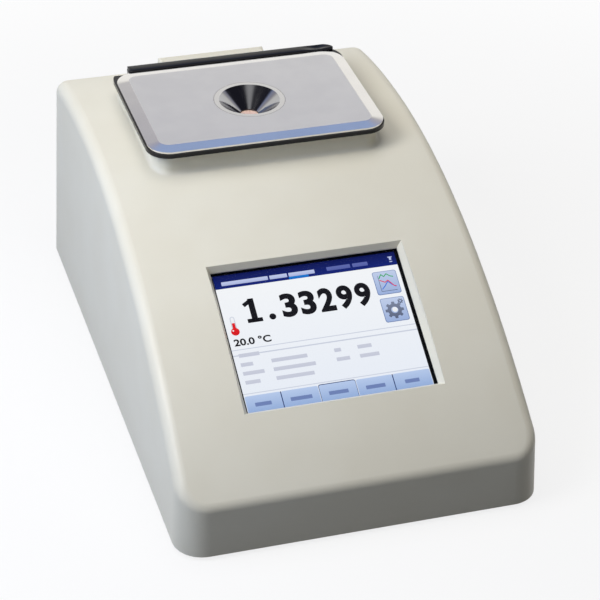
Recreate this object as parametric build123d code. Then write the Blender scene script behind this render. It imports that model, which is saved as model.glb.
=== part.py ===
from build123d import *
import os
from math import atan2, cos, hypot, radians, sin, sqrt, tan

# Bench refractometer with a touch screen and a temperature controlled sample dish, in millimetres.
# The origin is the centre of the footprint on the table, +Z is up and the screen faces -Y.

# Housing
BODY_WIDTH = 224.0
BODY_DEPTH = 357.0
FRONT_HEIGHT = 33.0
CROWN_HEIGHT = 136.0
REAR_HEIGHT = 127.0
CROWN_TO_REAR = 89.0
FRONT_SLOPE = 38.5
REAR_FALL = 13.0
SIDE_DRAFT = 2.0
FRONT_DRAFT = 4.1
FRONT_CORNER_RADIUS = 18.0
REAR_CORNER_RADIUS = 9.0
TOP_EDGE_RADIUS = 7.5
WALL = 3.0
FOOT_HEIGHT = 2.5
OVERRUN = 15.0

# General clearances
SEAM = 0.3
FIT = 0.05

# Sample plate, its tray and the pedestal under them
PLATE_WIDTH = 153.5
PLATE_DEPTH = 107.7
PLATE_TO_REAR = 42.8
PLATE_ABOVE_CROWN = 14.0
PLATE_CORNER_RADIUS = 14.0
PLATE_BORDER = 7.5
PLATE_BORDER_DROP = 1.2
PLATE_SHEET = 1.5
TRAY_MARGIN = 0.8
TRAY_LEDGE = 8.4
LEDGE_LEFT_GAP = 12.0
TRAY_THICKNESS = 2.5
PEDESTAL_SETBACK = 4.0
PEDESTAL_BLEND = 3.0
PEDESTAL_ROOT = 30.0

# Conical dish and prism
DISH_TO_PLATE_REAR = 55.3
DISH_FLANGE_RADIUS = 22.8
DISH_GAP = 0.2
DISH_MOUTH_RADIUS = 19.7
DISH_FLOOR_RADIUS = 6.3
DISH_DEPTH = 10.8
DISH_FLANGE_THICKNESS = 2.6
DISH_SEAT_RADIUS = 12.0
SEAL_RADIUS = 9.0
SEAL_THICKNESS = 0.8
PRISM_TOP_LENGTH = 18.0
PRISM_BOTTOM_LENGTH = 8.0
PRISM_WIDTH = 15.0
PRISM_HEIGHT = 9.6

# Prism block, thermoelectric module, heat sink and optics
BLOCK_WIDTH = 46.0
BLOCK_HEIGHT = 15.0
BLOCK_FRONT = 22.0
BLOCK_REAR = 43.0
EAR_REACH = 11.0
EAR_THICKNESS = 4.0
EAR_SPACING = 28.0
ROOF_HOLE_RADIUS = 20.0
BEAM_ANGLE = 33.0
BEAM_SLOT = 22.0
SENSOR_ROD_RADIUS = 1.6
SENSOR_ROD_LENGTH = 17.0
SENSOR_ROD_INSERTED = 12.0
PELTIER_SIZE = 28.0
PELTIER_HEIGHT = 4.0
SINK_WIDTH = 64.0
SINK_BASE = 5.0
SINK_HEIGHT = 40.0
SINK_GAP_TO_FAN = 4.0
FIN_COUNT = 12
FIN_THICKNESS = 1.6
CHANNEL_INNER = 20.0
CHANNEL_WALL = 3.0
CHANNEL_LENGTH = 140.0
CHANNEL_DROP = 42.0
CHANNEL_END_HEIGHT = 24.0
LENS_RADIUS = 7.0
LENS_EDGE = 2.0
LENS_BULGE = 1.2
LENS_DISTANCE = 36.0
LENS_MOUNT = 18.0
LENS_MOUNT_THICKNESS = 5.0
LENS_SEAT_GAP = 0.35
LENS_LIP = 1.0
LIGHT_DISTANCE = 62.0
DETECTOR_DISTANCE = 60.0

# Screen
OPENING_WIDTH = 123.6
OPENING_HEIGHT = 100.3
OPENING_TO_FRONT = 44.5
BEVEL_WIDTH = 2.6
BEVEL_DEPTH = 4.0
BEVEL_LIP = 1.0
FRAME_MARGIN = 6.0
FRAME_REACH = 8.0
GASKET_WIDTH = 4.0
GASKET_THICKNESS = 0.8
GLASS_THICKNESS = 1.8
MODULE_THICKNESS = 7.0
BRACKET_SHEET = 1.5
TAB_REACH = 9.0
TAB_WIDTH = 12.0
TAB_SPACING = 70.0
RIBBON_WIDTH = 28.0
RIBBON_THICKNESS = 0.4
RIBBON_RUN = 14.0
SOCKET_HEIGHT = 4.0

# Base plate, feet and boards
BASE_THICKNESS = 2.5
BOSS_RADIUS = 4.5
BOSS_INSET = 14.0
BOSS_END_INSET = 20.0
BOSS_MIDDLE = 18.0
BASE_BORE = 12.0
BASE_GRIP = 9.0
DISPLAY_BORE = 8.0
DISPLAY_GRIP = 6.0
FOOT_RADIUS = 9.0
FOOT_STEM_RADIUS = 2.9
FOOT_INSET = 28.0
FOOT_END_INSET = 38.0
VENT_LENGTH = 44.0
VENT_WIDTH = 3.0
VENT_PITCH = 7.0
VENT_COUNT = 9
BOARD_WIDTH = 150.0
BOARD_DEPTH = 0.28 * BODY_DEPTH
BOARD_THICKNESS = 1.6
BOARD_TO_FRONT = 58.0
BOARD_HOLE_INSET = 5.0
STANDOFF_HEIGHT = 10.0
SUPPLY_WIDTH = 52.0
SUPPLY_DEPTH = 0.28 * BODY_DEPTH
SUPPLY_TO_REAR = 50.0
SUPPLY_HEIGHT = 32.0
SUPPLY_SHEET = 1.2
SUPPLY_POST = 4.0
SUPPLY_BOARD = 1.6
CAGE_SLOTS = 6

# Rear panel and its connectors
PANEL_INSET = 19.0
PANEL_END = 9.5
PANEL_HEIGHT = 50.0
PANEL_CENTRE = 37.0
PANEL_SHEET = 1.2
PANEL_RECESS = 5.0
PANEL_RIM = 7.0
PANEL_SURROUND = 3.0
RIM_THICKNESS = 4.0
INLET_WIDTH = 31.0
INLET_HEIGHT = 24.0
INLET_FLANGE = 2.4
INLET_BODY_WIDTH = 27.5
INLET_BODY_HEIGHT = 20.0
INLET_BODY_DEPTH = 18.0
INLET_CAVITY_WIDTH = 24.5
INLET_CAVITY_HEIGHT = 16.8
INLET_CAVITY_DEPTH = 16.0
SWITCH_WIDTH = 15.0
SWITCH_HEIGHT = 24.0
SWITCH_WALL = 1.3
SWITCH_DEPTH = 14.0
SWITCH_FLANGE = 1.6
SWITCH_MARGIN = 1.5
ROCKER_TILT = 10.0
ROCKER_REACH = 8.4
ROCKER_SIDE_GAP = 0.3
TRUNNION_RADIUS = 1.2
NETWORK_WIDTH = 16.0
NETWORK_HEIGHT = 14.0
USB_WIDTH = 13.6
USB_HEIGHT = 16.0
PORT_COLLAR = 1.0
PORT_DEPTH = 16.0
SERIAL_FLANGE_WIDTH = 31.0
SERIAL_FLANGE_HEIGHT = 12.6
SERIAL_BODY_WIDTH = 18.0
SERIAL_BODY_HEIGHT = 9.4
SERIAL_RIM = 3.4
PIN_PITCH = 2.76

# Rear hood and fan
HOOD_WIDTH = 73.0
HOOD_DEPTH = 17.0
HOOD_FOOT = 68.0
HOOD_TOP = 138.2
HOOD_WALL = 2.5
HOOD_EDGE_RADIUS = 2.0
FAN_SIZE = 60.0
FAN_THICKNESS = 12.0
FAN_CENTRE = 99.0
FAN_BORE = 28.0
FAN_TIP_GAP = 0.7
FAN_HUB_RADIUS = 14.0
FAN_HUB_LENGTH = 7.5
FAN_BLADES = 7
BLADE_THICKNESS = 1.2
SHAFT_RADIUS = 1.5
LOUVRE_HEIGHT = 2.6
LOUVRE_PITCH = 4.6
LOUVRE_REACH = 27.0
FAN_SCREW_INSET = 4.0
STRUT_WIDTH = 3.0
STRUT_HEIGHT = 2.4
HUB_GAP = 0.6

# Screws
SCREW_RADIUS = 1.5
SCREW_HEAD_RADIUS = 2.8
SCREW_HEAD_HEIGHT = 1.8
SMALL_SCREW_RADIUS = 1.2
SMALL_HEAD_RADIUS = 2.3
SMALL_HEAD_HEIGHT = 1.2
DRIVE_WIDTH = 0.5
DRIVE_DEPTH = 0.55

# Levels and places worked out from the sizes above
RIM_Z = FOOT_HEIGHT
BASE_TOP = RIM_Z + BASE_THICKNESS
FRONT_Y = -BODY_DEPTH / 2
REAR_Y = BODY_DEPTH / 2
CROWN_Y = REAR_Y - CROWN_TO_REAR
CROWN_Z = RIM_Z + CROWN_HEIGHT
PLATE_TOP = CROWN_Z + PLATE_ABOVE_CROWN
PLATE_REAR = REAR_Y - PLATE_TO_REAR
PLATE_FRONT = PLATE_REAR - PLATE_DEPTH
PLATE_Y = (PLATE_REAR + PLATE_FRONT) / 2
PLATE_UNDERSIDE = PLATE_TOP - PLATE_SHEET
TRAY_RIM_TOP = PLATE_UNDERSIDE - PLATE_BORDER_DROP
PEDESTAL_TOP = TRAY_RIM_TOP - TRAY_THICKNESS
ROOF_UNDERSIDE = PEDESTAL_TOP - WALL
DISH_Y = PLATE_REAR - DISH_TO_PLATE_REAR
DISH_FLOOR = PLATE_TOP - DISH_DEPTH
PRISM_TOP = DISH_FLOOR - SEAL_THICKNESS
BLOCK_BOTTOM = ROOF_UNDERSIDE - BLOCK_HEIGHT
BEAM_Z = PRISM_TOP - PRISM_HEIGHT / 2
PELTIER_Y = DISH_Y + BLOCK_REAR - PELTIER_SIZE / 2 - 1
SINK_TOP = BLOCK_BOTTOM - PELTIER_HEIGHT
PLATE_SCREW_X = PLATE_WIDTH / 2 - PLATE_BORDER - 12
PLATE_SCREW_Y = PLATE_DEPTH / 2 - PLATE_BORDER - 11
PANEL_WIDTH = BODY_WIDTH - 2 * PANEL_INSET
PANEL_FACE = REAR_Y - PANEL_RECESS + PANEL_SHEET
FAN_REAR = REAR_Y - HOOD_WALL
FAN_FRONT = FAN_REAR - FAN_THICKNESS
BOARD_Y = FRONT_Y + BOARD_TO_FRONT + BOARD_DEPTH / 2
BOARD_Z = BASE_TOP + STANDOFF_HEIGHT
BOARD_TOP = BOARD_Z + BOARD_THICKNESS


def in_a_row(widths, length):
    """Middles of pieces with these widths, set along a length with equal gaps between them."""
    gap = (length - sum(widths)) / (len(widths) - 1)
    places = []
    left = -length / 2
    for width in widths:
        places.append(left + width / 2)
        left += width + gap
    return places


CONNECTOR_WIDTHS = [
    INLET_WIDTH,
    SWITCH_WIDTH + 2 * SWITCH_MARGIN,
    NETWORK_WIDTH + 2 * PORT_COLLAR,
    USB_WIDTH + 2 * PORT_COLLAR,
    SERIAL_FLANGE_WIDTH,
]
INLET_X, SWITCH_X, NETWORK_X, USB_X, SERIAL_X = in_a_row(CONNECTOR_WIDTHS, PANEL_WIDTH - 2 * PANEL_END)


def mirrored(x, y_values):
    """Places at both sides of the middle plane for each y."""
    return [(side * x, y) for side in (-1, 1) for y in y_values]


def back_knots(drop):
    """Places where the back line's height and slope are set, each as y, height and slope."""
    front_y = FRONT_Y + FRONT_HEIGHT * tan(radians(FRONT_DRAFT))
    front_slope = tan(radians(FRONT_SLOPE))
    rear_slope = -tan(radians(REAR_FALL))
    return [
        (front_y, RIM_Z + FRONT_HEIGHT - drop * hypot(1, front_slope), front_slope),
        (CROWN_Y, CROWN_Z - drop, 0.0),
        (REAR_Y, RIM_Z + REAR_HEIGHT - drop * hypot(1, rear_slope), rear_slope),
    ]


def back_height(y):
    """Height of the back line at y, a cubic from the front edge to the crown and another to the rear."""
    front, crown, rear = back_knots(0.0)
    low, high = (front, crown) if y < CROWN_Y else (crown, rear)
    span = high[0] - low[0]
    t = (y - low[0]) / span
    start = (1 + 2 * t) * (1 - t) ** 2 * low[1] + t * (1 - t) ** 2 * span * low[2]
    end = t**2 * (3 - 2 * t) * high[1] + t**2 * (t - 1) * span * high[2]
    return start + end


def back_area(drop):
    """Area below the back line in the YZ plane, run out past the walls at both ends."""
    knots = back_knots(drop)
    first = knots[0]
    last = knots[-1]
    low = -OVERRUN
    start = (0, first[0] - OVERRUN, first[1] - OVERRUN * first[2])
    end = (0, last[0] + OVERRUN, last[1] + OVERRUN * last[2])
    edges = [Edge.make_line(start, (0, first[0], first[1]))]
    for a, b in zip(knots, knots[1:]):
        third = (b[0] - a[0]) / 3
        controls = [
            (0, a[0], a[1]),
            (0, a[0] + third, a[1] + third * a[2]),
            (0, b[0] - third, b[1] - third * b[2]),
            (0, b[0], b[1]),
        ]
        edges.append(Edge.make_bezier(*controls))
    edges.append(Edge.make_line((0, last[0], last[1]), end))
    edges.append(Edge.make_line(end, (0, end[1], low)))
    edges.append(Edge.make_line((0, end[1], low), (0, start[1], low)))
    edges.append(Edge.make_line((0, start[1], low), start))
    return Face(Wire(edges))


def wall_outline(z, inset):
    """Plan outline of the drafted walls at height z, drawn in by inset."""
    rise = z - RIM_Z
    half_width = BODY_WIDTH / 2 - inset - rise * tan(radians(SIDE_DRAFT))
    front = FRONT_Y + inset + rise * tan(radians(FRONT_DRAFT))
    rear = REAR_Y - inset
    outline = Pos(0, (front + rear) / 2, z) * Rectangle(2 * half_width, rear - front)
    outline = fillet(outline.vertices().group_by(Axis.Y)[0], FRONT_CORNER_RADIUS - inset)
    return fillet(outline.vertices().group_by(Axis.Y)[-1], REAR_CORNER_RADIUS - inset)


def body_form(inset, low_z):
    """Housing's form without the pedestal: drafted walls under the curved back, with a rounded top edge."""
    walls = loft([wall_outline(low_z, inset), wall_outline(CROWN_Z + OVERRUN, inset)])
    form = walls & extrude(back_area(inset), amount=BODY_WIDTH, both=True)
    tops = [face for face in form.faces() if face.normal_at().Z > 0.3]
    rim = []
    for face in tops:
        for edge in face.edges():
            middle = edge @ 0.5
            across = abs((edge % 0.5).X) > 0.99
            if not (across and abs(middle.Y - CROWN_Y) < 1.0):
                rim.append(edge)
    return fillet(rim, TOP_EDGE_RADIUS - inset)


def plate_outline(z, grow, rear_grow):
    """Rounded outline of the sample plate at height z, grown by grow, and by rear_grow at the rear."""
    depth = PLATE_DEPTH + grow + rear_grow
    centre = PLATE_Y + (rear_grow - grow) / 2
    radius = PLATE_CORNER_RADIUS + grow
    return Pos(0, centre, z) * RectangleRounded(PLATE_WIDTH + 2 * grow, depth, radius)


def plate_crown(lift):
    """Solid below the plate's upper face: a flat top with a border that slopes down outwards."""
    low = plate_outline(PLATE_TOP - PLATE_BORDER_DROP + lift, 0, 0)
    high = plate_outline(PLATE_TOP + lift, -PLATE_BORDER, -PLATE_BORDER)
    return loft([low, high])


def pedestal(inset, low_z):
    """Raised seat of the housing under the tray."""
    grow = -PEDESTAL_SETBACK - inset
    outline = plate_outline(low_z, grow, TRAY_LEDGE + grow)
    return extrude(outline, amount=PEDESTAL_TOP - inset - low_z)


def screen_plane():
    """Plane of the screen opening: its lower and upper edges lie on the back line."""
    low_y = FRONT_Y + OPENING_TO_FRONT
    low_z = back_height(low_y)
    slope = radians(FRONT_SLOPE)
    for _ in range(30):
        high_y = low_y + OPENING_HEIGHT * cos(slope)
        slope = atan2(back_height(high_y) - low_z, high_y - low_y)
    centre = (0, low_y + OPENING_HEIGHT / 2 * cos(slope), low_z + OPENING_HEIGHT / 2 * sin(slope))
    return Plane(origin=centre, x_dir=(1, 0, 0), z_dir=(0, -sin(slope), cos(slope)))


SCREEN = screen_plane()
WINDOW_WIDTH = OPENING_WIDTH - 2 * BEVEL_WIDTH
WINDOW_HEIGHT = OPENING_HEIGHT - 2 * BEVEL_WIDTH
LIP_LEVEL = -BEVEL_DEPTH - BEVEL_LIP
GLASS_WIDTH = OPENING_WIDTH + 2 * FRAME_MARGIN - 2
GLASS_HEIGHT = OPENING_HEIGHT + 2 * FRAME_MARGIN - 2
GLASS_TOP = LIP_LEVEL - GASKET_THICKNESS
MODULE_TOP = GLASS_TOP - GLASS_THICKNESS
BRACKET_TOP = MODULE_TOP - MODULE_THICKNESS
TAB_X = GLASS_WIDTH / 2 + TAB_REACH - BOSS_RADIUS


def on_screen(x, y, z, shape):
    """Shape set on the screen plane: x to the right, y up the slope, z out of it."""
    return SCREEN * Pos(x, y, z) * shape


def slab(width, depth, low, high):
    """Block centred on the origin in plan, from low to high."""
    return Pos(0, 0, (low + high) / 2) * Box(width, depth, high - low)


def tube_post(radius, low, high):
    """Round post along Z from low to high."""
    return Pos(0, 0, (low + high) / 2) * Cylinder(radius, high - low)


def screw(radius, length, head_radius, head_height):
    """Screw along Z with its head below the origin, its shank above and a hexagon socket in the head."""
    head = Pos(0, 0, -head_height / 2) * Cylinder(head_radius, head_height)
    head = chamfer(head.edges().group_by(Axis.Z)[0], head_height * 0.3)
    socket = Pos(0, 0, -head_height) * RegularPolygon(head_radius * DRIVE_WIDTH, 6)
    head = head - extrude(socket, amount=head_height * DRIVE_DEPTH)
    return head + tube_post(radius, 0, length)


def standard_screw(length):
    """Three millimetre machine screw."""
    return screw(SCREW_RADIUS, length, SCREW_HEAD_RADIUS, SCREW_HEAD_HEIGHT)


def small_screw(length):
    """Panel and board screw."""
    return screw(SMALL_SCREW_RADIUS, length, SMALL_HEAD_RADIUS, SMALL_HEAD_HEIGHT)


def facing_rear(x, y, z):
    """Location on the rear panel: local z points out of the back, local x to the right seen from there."""
    return Plane(origin=(x, y, z), x_dir=(-1, 0, 0), z_dir=(0, 1, 0)).location


BASE_BOSSES = mirrored(
    BODY_WIDTH / 2 - BOSS_INSET, [FRONT_Y + BOSS_END_INSET + 4, BOSS_MIDDLE, REAR_Y - BOSS_END_INSET]
)
DISPLAY_BOSSES = mirrored(TAB_X, [-TAB_SPACING / 2, TAB_SPACING / 2])
PLATE_SCREWS = mirrored(PLATE_SCREW_X, [PLATE_Y - PLATE_SCREW_Y, PLATE_Y + PLATE_SCREW_Y])
EAR_SCREWS = mirrored(
    BLOCK_WIDTH / 2 + EAR_REACH / 2, [DISH_Y - EAR_SPACING / 2, DISH_Y + EAR_SPACING / 2]
)
PANEL_SCREW_RISE = (PANEL_HEIGHT - PANEL_RIM) / 2
PANEL_SCREWS = mirrored(
    (PANEL_WIDTH - PANEL_RIM) / 2, [PANEL_CENTRE - PANEL_SCREW_RISE, PANEL_CENTRE + PANEL_SCREW_RISE]
)
FAN_SCREW_REACH = FAN_SIZE / 2 - FAN_SCREW_INSET
FAN_SCREWS = mirrored(FAN_SCREW_REACH, [FAN_CENTRE - FAN_SCREW_REACH, FAN_CENTRE + FAN_SCREW_REACH])
FEET = mirrored(BODY_WIDTH / 2 - FOOT_INSET, [FRONT_Y + FOOT_END_INSET, REAR_Y - FOOT_END_INSET])
BOARD_HOLES = mirrored(
    BOARD_WIDTH / 2 - BOARD_HOLE_INSET,
    [BOARD_Y - BOARD_DEPTH / 2 + BOARD_HOLE_INSET, BOARD_Y + BOARD_DEPTH / 2 - BOARD_HOLE_INSET],
)


def housing_cover():
    """Moulded shell with the screen recess, the pedestal, the rear pocket and its screw bosses."""
    outer = body_form(0, RIM_Z)
    raised = pedestal(0, CROWN_Z - PEDESTAL_ROOT)
    joined = outer + raised
    shoulder = [
        edge
        for edge in joined.edges()
        if abs(edge.center().Z - back_height(edge.center().Y)) < 2.5
        and abs(edge.center().X) < PLATE_WIDTH / 2
        and PLATE_FRONT - 2 < edge.center().Y < PLATE_REAR + TRAY_LEDGE
    ]
    joined = fillet(shoulder, PEDESTAL_BLEND)
    cavity = body_form(WALL, RIM_Z - 1) + pedestal(WALL, CROWN_Z - PEDESTAL_ROOT)
    shell = joined - cavity
    frame_width = OPENING_WIDTH + 2 * FRAME_MARGIN
    frame_height = OPENING_HEIGHT + 2 * FRAME_MARGIN
    ribs = [on_screen(0, 0, 0, slab(frame_width, frame_height, LIP_LEVEL, FRAME_REACH))]
    for x, y in DISPLAY_BOSSES:
        ribs.append(on_screen(x, y, 0, tube_post(BOSS_RADIUS, BRACKET_TOP, FRAME_REACH)))
    for x, y in BASE_BOSSES:
        ribs.append(Pos(x, y, 0) * tube_post(BOSS_RADIUS, BASE_TOP, CROWN_Z))
    surround_depth = PANEL_RECESS + RIM_THICKNESS - WALL / 2
    surround = Box(
        PANEL_WIDTH + 2 * PANEL_SURROUND, surround_depth, PANEL_HEIGHT + 2 * PANEL_SURROUND
    )
    ribs.append(Pos(0, REAR_Y - WALL / 2 - surround_depth / 2, PANEL_CENTRE) * surround)
    for rib in ribs:
        shell = shell + (rib & outer)
    recess = loft(
        [
            Pos(0, 0, -BEVEL_DEPTH) * Rectangle(WINDOW_WIDTH, WINDOW_HEIGHT),
            Rectangle(OPENING_WIDTH, OPENING_HEIGHT),
        ]
    )
    shell = shell - on_screen(0, 0, 0, recess)
    shell = shell - on_screen(0, 0, 0, slab(OPENING_WIDTH, OPENING_HEIGHT, 0, OVERRUN))
    shell = shell - on_screen(0, 0, 0, slab(WINDOW_WIDTH, WINDOW_HEIGHT, LIP_LEVEL - 1, -BEVEL_DEPTH))
    pocket = Box(PANEL_WIDTH + 2 * SEAM, 2 * PANEL_RECESS, PANEL_HEIGHT + 2 * SEAM)
    shell = shell - Pos(0, REAR_Y, PANEL_CENTRE) * pocket
    through = Box(PANEL_WIDTH - 2 * PANEL_RIM, 2 * OVERRUN, PANEL_HEIGHT - 2 * PANEL_RIM)
    shell = shell - Pos(0, REAR_Y, PANEL_CENTRE) * through
    notch = Box(HOOD_WIDTH + 2 * SEAM, 2 * (HOOD_DEPTH + SEAM), 2 * (CROWN_Z - HOOD_FOOT))
    shell = shell - Pos(0, REAR_Y, CROWN_Z - SEAM) * notch
    shell = shell - Pos(0, DISH_Y, PEDESTAL_TOP) * Cylinder(ROOF_HOLE_RADIUS, 4 * WALL)
    for x, y in PLATE_SCREWS + EAR_SCREWS:
        shell = shell - Pos(x, y, PEDESTAL_TOP) * Cylinder(SCREW_RADIUS + FIT, 4 * WALL)
    for x, y in BASE_BOSSES:
        shell = shell - Pos(x, y, 0) * tube_post(SCREW_RADIUS + FIT, 0, BASE_TOP + BASE_BORE)
    for x, y in DISPLAY_BOSSES:
        bore = tube_post(SCREW_RADIUS + FIT, BRACKET_TOP - 1, BRACKET_TOP + DISPLAY_BORE)
        shell = shell - on_screen(x, y, 0, bore)
    for x, z in PANEL_SCREWS:
        bore = tube_post(SMALL_SCREW_RADIUS + FIT, -RIM_THICKNESS - 1, 1)
        shell = shell - facing_rear(x, REAR_Y - PANEL_RECESS, z) * bore
    return shell


def base_plate():
    """Floor sheet inside the housing's rim, with intake slots below the heat sink."""
    plate = extrude(wall_outline(RIM_Z, WALL + SEAM), amount=BASE_THICKNESS)
    first = -(VENT_COUNT - 1) * VENT_PITCH / 2
    for i in range(VENT_COUNT):
        slot = Pos(first + i * VENT_PITCH, PELTIER_Y, RIM_Z) * Rot(0, 0, 90) * SlotOverall(
            VENT_LENGTH, VENT_WIDTH
        )
        plate = plate - extrude(slot, amount=BASE_THICKNESS)
    for x, y in BASE_BOSSES:
        plate = plate - Pos(x, y, 0) * tube_post(SCREW_RADIUS + FIT, 0, 2 * BASE_TOP)
    for x, y in FEET:
        plate = plate - Pos(x, y, 0) * tube_post(FOOT_STEM_RADIUS + FIT, 0, 2 * BASE_TOP)
    return plate


def rubber_feet():
    """Four turned feet with a stem through the base plate and a barb above it."""
    barb = FOOT_STEM_RADIUS + 0.8
    points = [
        (0, 0),
        (FOOT_RADIUS - 1.0, 0),
        (FOOT_RADIUS, 1.0),
        (FOOT_RADIUS, FOOT_HEIGHT),
        (FOOT_STEM_RADIUS, FOOT_HEIGHT),
        (FOOT_STEM_RADIUS, BASE_TOP),
        (barb, BASE_TOP),
        (FOOT_STEM_RADIUS - 0.9, BASE_TOP + 3.0),
        (0, BASE_TOP + 3.0),
    ]
    foot = revolve(Plane.XZ * make_face(Polyline(*points, close=True)), Axis.Z)
    return Part() + [Pos(x, y, 0) * foot for x, y in FEET]


def sample_plate():
    """Stainless sheet with a sloping border, the dish's round hole and four threaded bosses below."""
    plate = plate_crown(0) + extrude(
        plate_outline(TRAY_RIM_TOP, 0, 0), amount=PLATE_SHEET
    )
    plate = plate - plate_crown(-PLATE_SHEET)
    for x, y in PLATE_SCREWS:
        plate = plate + Pos(x, y, 0) * tube_post(3.5, PEDESTAL_TOP, PLATE_UNDERSIDE)
        plate = plate - Pos(x, y, 0) * tube_post(SCREW_RADIUS + FIT, PEDESTAL_TOP, PLATE_UNDERSIDE - 0.5)
    return plate - Pos(0, DISH_Y, PLATE_TOP) * Cylinder(DISH_FLANGE_RADIUS + DISH_GAP, 4 * PLATE_SHEET)


def sample_tray():
    """Black insulating tray between the pedestal and the plate, with a ledge behind the plate."""
    rim = extrude(plate_outline(PEDESTAL_TOP, TRAY_MARGIN, TRAY_LEDGE), amount=TRAY_THICKNESS)
    left_side = -PLATE_WIDTH / 2 - TRAY_MARGIN
    cut = Box(2 * LEDGE_LEFT_GAP, 2 * (TRAY_LEDGE - TRAY_MARGIN), 2 * TRAY_THICKNESS)
    rim = rim - Pos(left_side, PLATE_REAR + TRAY_LEDGE, PEDESTAL_TOP + TRAY_THICKNESS / 2) * cut
    tray = rim + plate_crown(-PLATE_SHEET)
    for x, y in PLATE_SCREWS:
        tray = tray - Pos(x, y, 0) * tube_post(3.5 + SEAM, PEDESTAL_TOP - 1, PLATE_TOP)
    for x, y in EAR_SCREWS:
        tray = tray - Pos(x, y, 0) * tube_post(SCREW_RADIUS + SEAM, PEDESTAL_TOP - 1, PEDESTAL_TOP + 1)
    return tray - Pos(0, DISH_Y, PEDESTAL_TOP) * Cylinder(DISH_FLANGE_RADIUS + 1.2, 6 * TRAY_THICKNESS)


def dish_insert():
    """Turned steel cone that holds the drop of sample above the prism."""
    flange_bottom = PLATE_TOP - DISH_FLANGE_THICKNESS
    points = [
        (DISH_FLOOR_RADIUS, DISH_FLOOR),
        (DISH_SEAT_RADIUS, DISH_FLOOR),
        (DISH_SEAT_RADIUS, ROOF_UNDERSIDE + SEAM),
        (DISH_FLANGE_RADIUS, flange_bottom),
        (DISH_FLANGE_RADIUS, PLATE_TOP),
        (DISH_MOUTH_RADIUS, PLATE_TOP),
    ]
    return Pos(0, DISH_Y, 0) * revolve(Plane.XZ * make_face(Polyline(*points, close=True)), Axis.Z)


def prism_seal():
    """Flat ring between the cone and the prism."""
    ring = tube_post(SEAL_RADIUS, PRISM_TOP, DISH_FLOOR) - tube_post(
        DISH_FLOOR_RADIUS, PRISM_TOP - 1, DISH_FLOOR + 1
    )
    return Pos(0, DISH_Y, 0) * ring


def prism_profile(half_top, half_bottom, top, bottom, width):
    """Block with sloping ends along X, centred on the dish's axis."""
    points = [(-half_top, top), (half_top, top), (half_bottom, bottom), (-half_bottom, bottom)]
    face = Plane.XZ * make_face(Polyline(*points, close=True))
    return Pos(0, DISH_Y, 0) * extrude(face, amount=width / 2, both=True)


def prism():
    """Measuring prism: the sample lies on its top, light passes its two sloping ends."""
    return prism_profile(
        PRISM_TOP_LENGTH / 2, PRISM_BOTTOM_LENGTH / 2, PRISM_TOP, PRISM_TOP - PRISM_HEIGHT, PRISM_WIDTH
    )


def prism_block():
    """Metal block that holds the prism at temperature, hung from the pedestal by two ears."""
    depth = BLOCK_FRONT + BLOCK_REAR
    centre = DISH_Y + (BLOCK_REAR - BLOCK_FRONT) / 2
    block = Pos(0, centre, 0) * slab(BLOCK_WIDTH, depth, BLOCK_BOTTOM, ROOF_UNDERSIDE)
    ears = slab(
        BLOCK_WIDTH + 2 * EAR_REACH, EAR_SPACING + 12, ROOF_UNDERSIDE - EAR_THICKNESS, ROOF_UNDERSIDE
    )
    block = block + Pos(0, DISH_Y, 0) * ears
    block = block - Pos(0, DISH_Y, 0) * tube_post(DISH_SEAT_RADIUS + 0.2, DISH_FLOOR, ROOF_UNDERSIDE + 1)
    block = block - Pos(0, DISH_Y, 0) * tube_post(SEAL_RADIUS + 0.2, PRISM_TOP, DISH_FLOOR)
    block = block - prism_profile(
        PRISM_TOP_LENGTH / 2 + 0.2, BEAM_SLOT, PRISM_TOP, BLOCK_BOTTOM, PRISM_WIDTH
    )
    for x, y in EAR_SCREWS:
        block = block - Pos(x, y, ROOF_UNDERSIDE) * Cylinder(SCREW_RADIUS + FIT, 4 * EAR_THICKNESS)
    rod_hole = Plane(
        origin=(0, DISH_Y - BLOCK_FRONT, ROOF_UNDERSIDE - BLOCK_HEIGHT / 2), z_dir=(0, 1, 0)
    )
    return block - rod_hole * Cylinder(SENSOR_ROD_RADIUS + FIT, 2 * SENSOR_ROD_INSERTED)


def temperature_sensor():
    """Rod thermometer in the front of the prism block, with a collar and a lead sleeve."""
    place = Plane(
        origin=(0, DISH_Y - BLOCK_FRONT, ROOF_UNDERSIDE - BLOCK_HEIGHT / 2), z_dir=(0, 1, 0)
    )
    rod = tube_post(SENSOR_ROD_RADIUS, -(SENSOR_ROD_LENGTH - SENSOR_ROD_INSERTED), SENSOR_ROD_INSERTED)
    collar = tube_post(SENSOR_ROD_RADIUS + 1.4, -1.5, 0)
    return place * (rod + collar)


def peltier_module():
    """Thermoelectric module: two ceramic plates with a narrower core."""
    skin = PELTIER_HEIGHT * 0.2
    top = slab(PELTIER_SIZE, PELTIER_SIZE, BLOCK_BOTTOM - skin, BLOCK_BOTTOM)
    core = slab(PELTIER_SIZE - 2, PELTIER_SIZE - 2, SINK_TOP + skin, BLOCK_BOTTOM - skin)
    bottom = slab(PELTIER_SIZE, PELTIER_SIZE, SINK_TOP, SINK_TOP + skin)
    return Pos(0, PELTIER_Y, 0) * (top + core + bottom)


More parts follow.
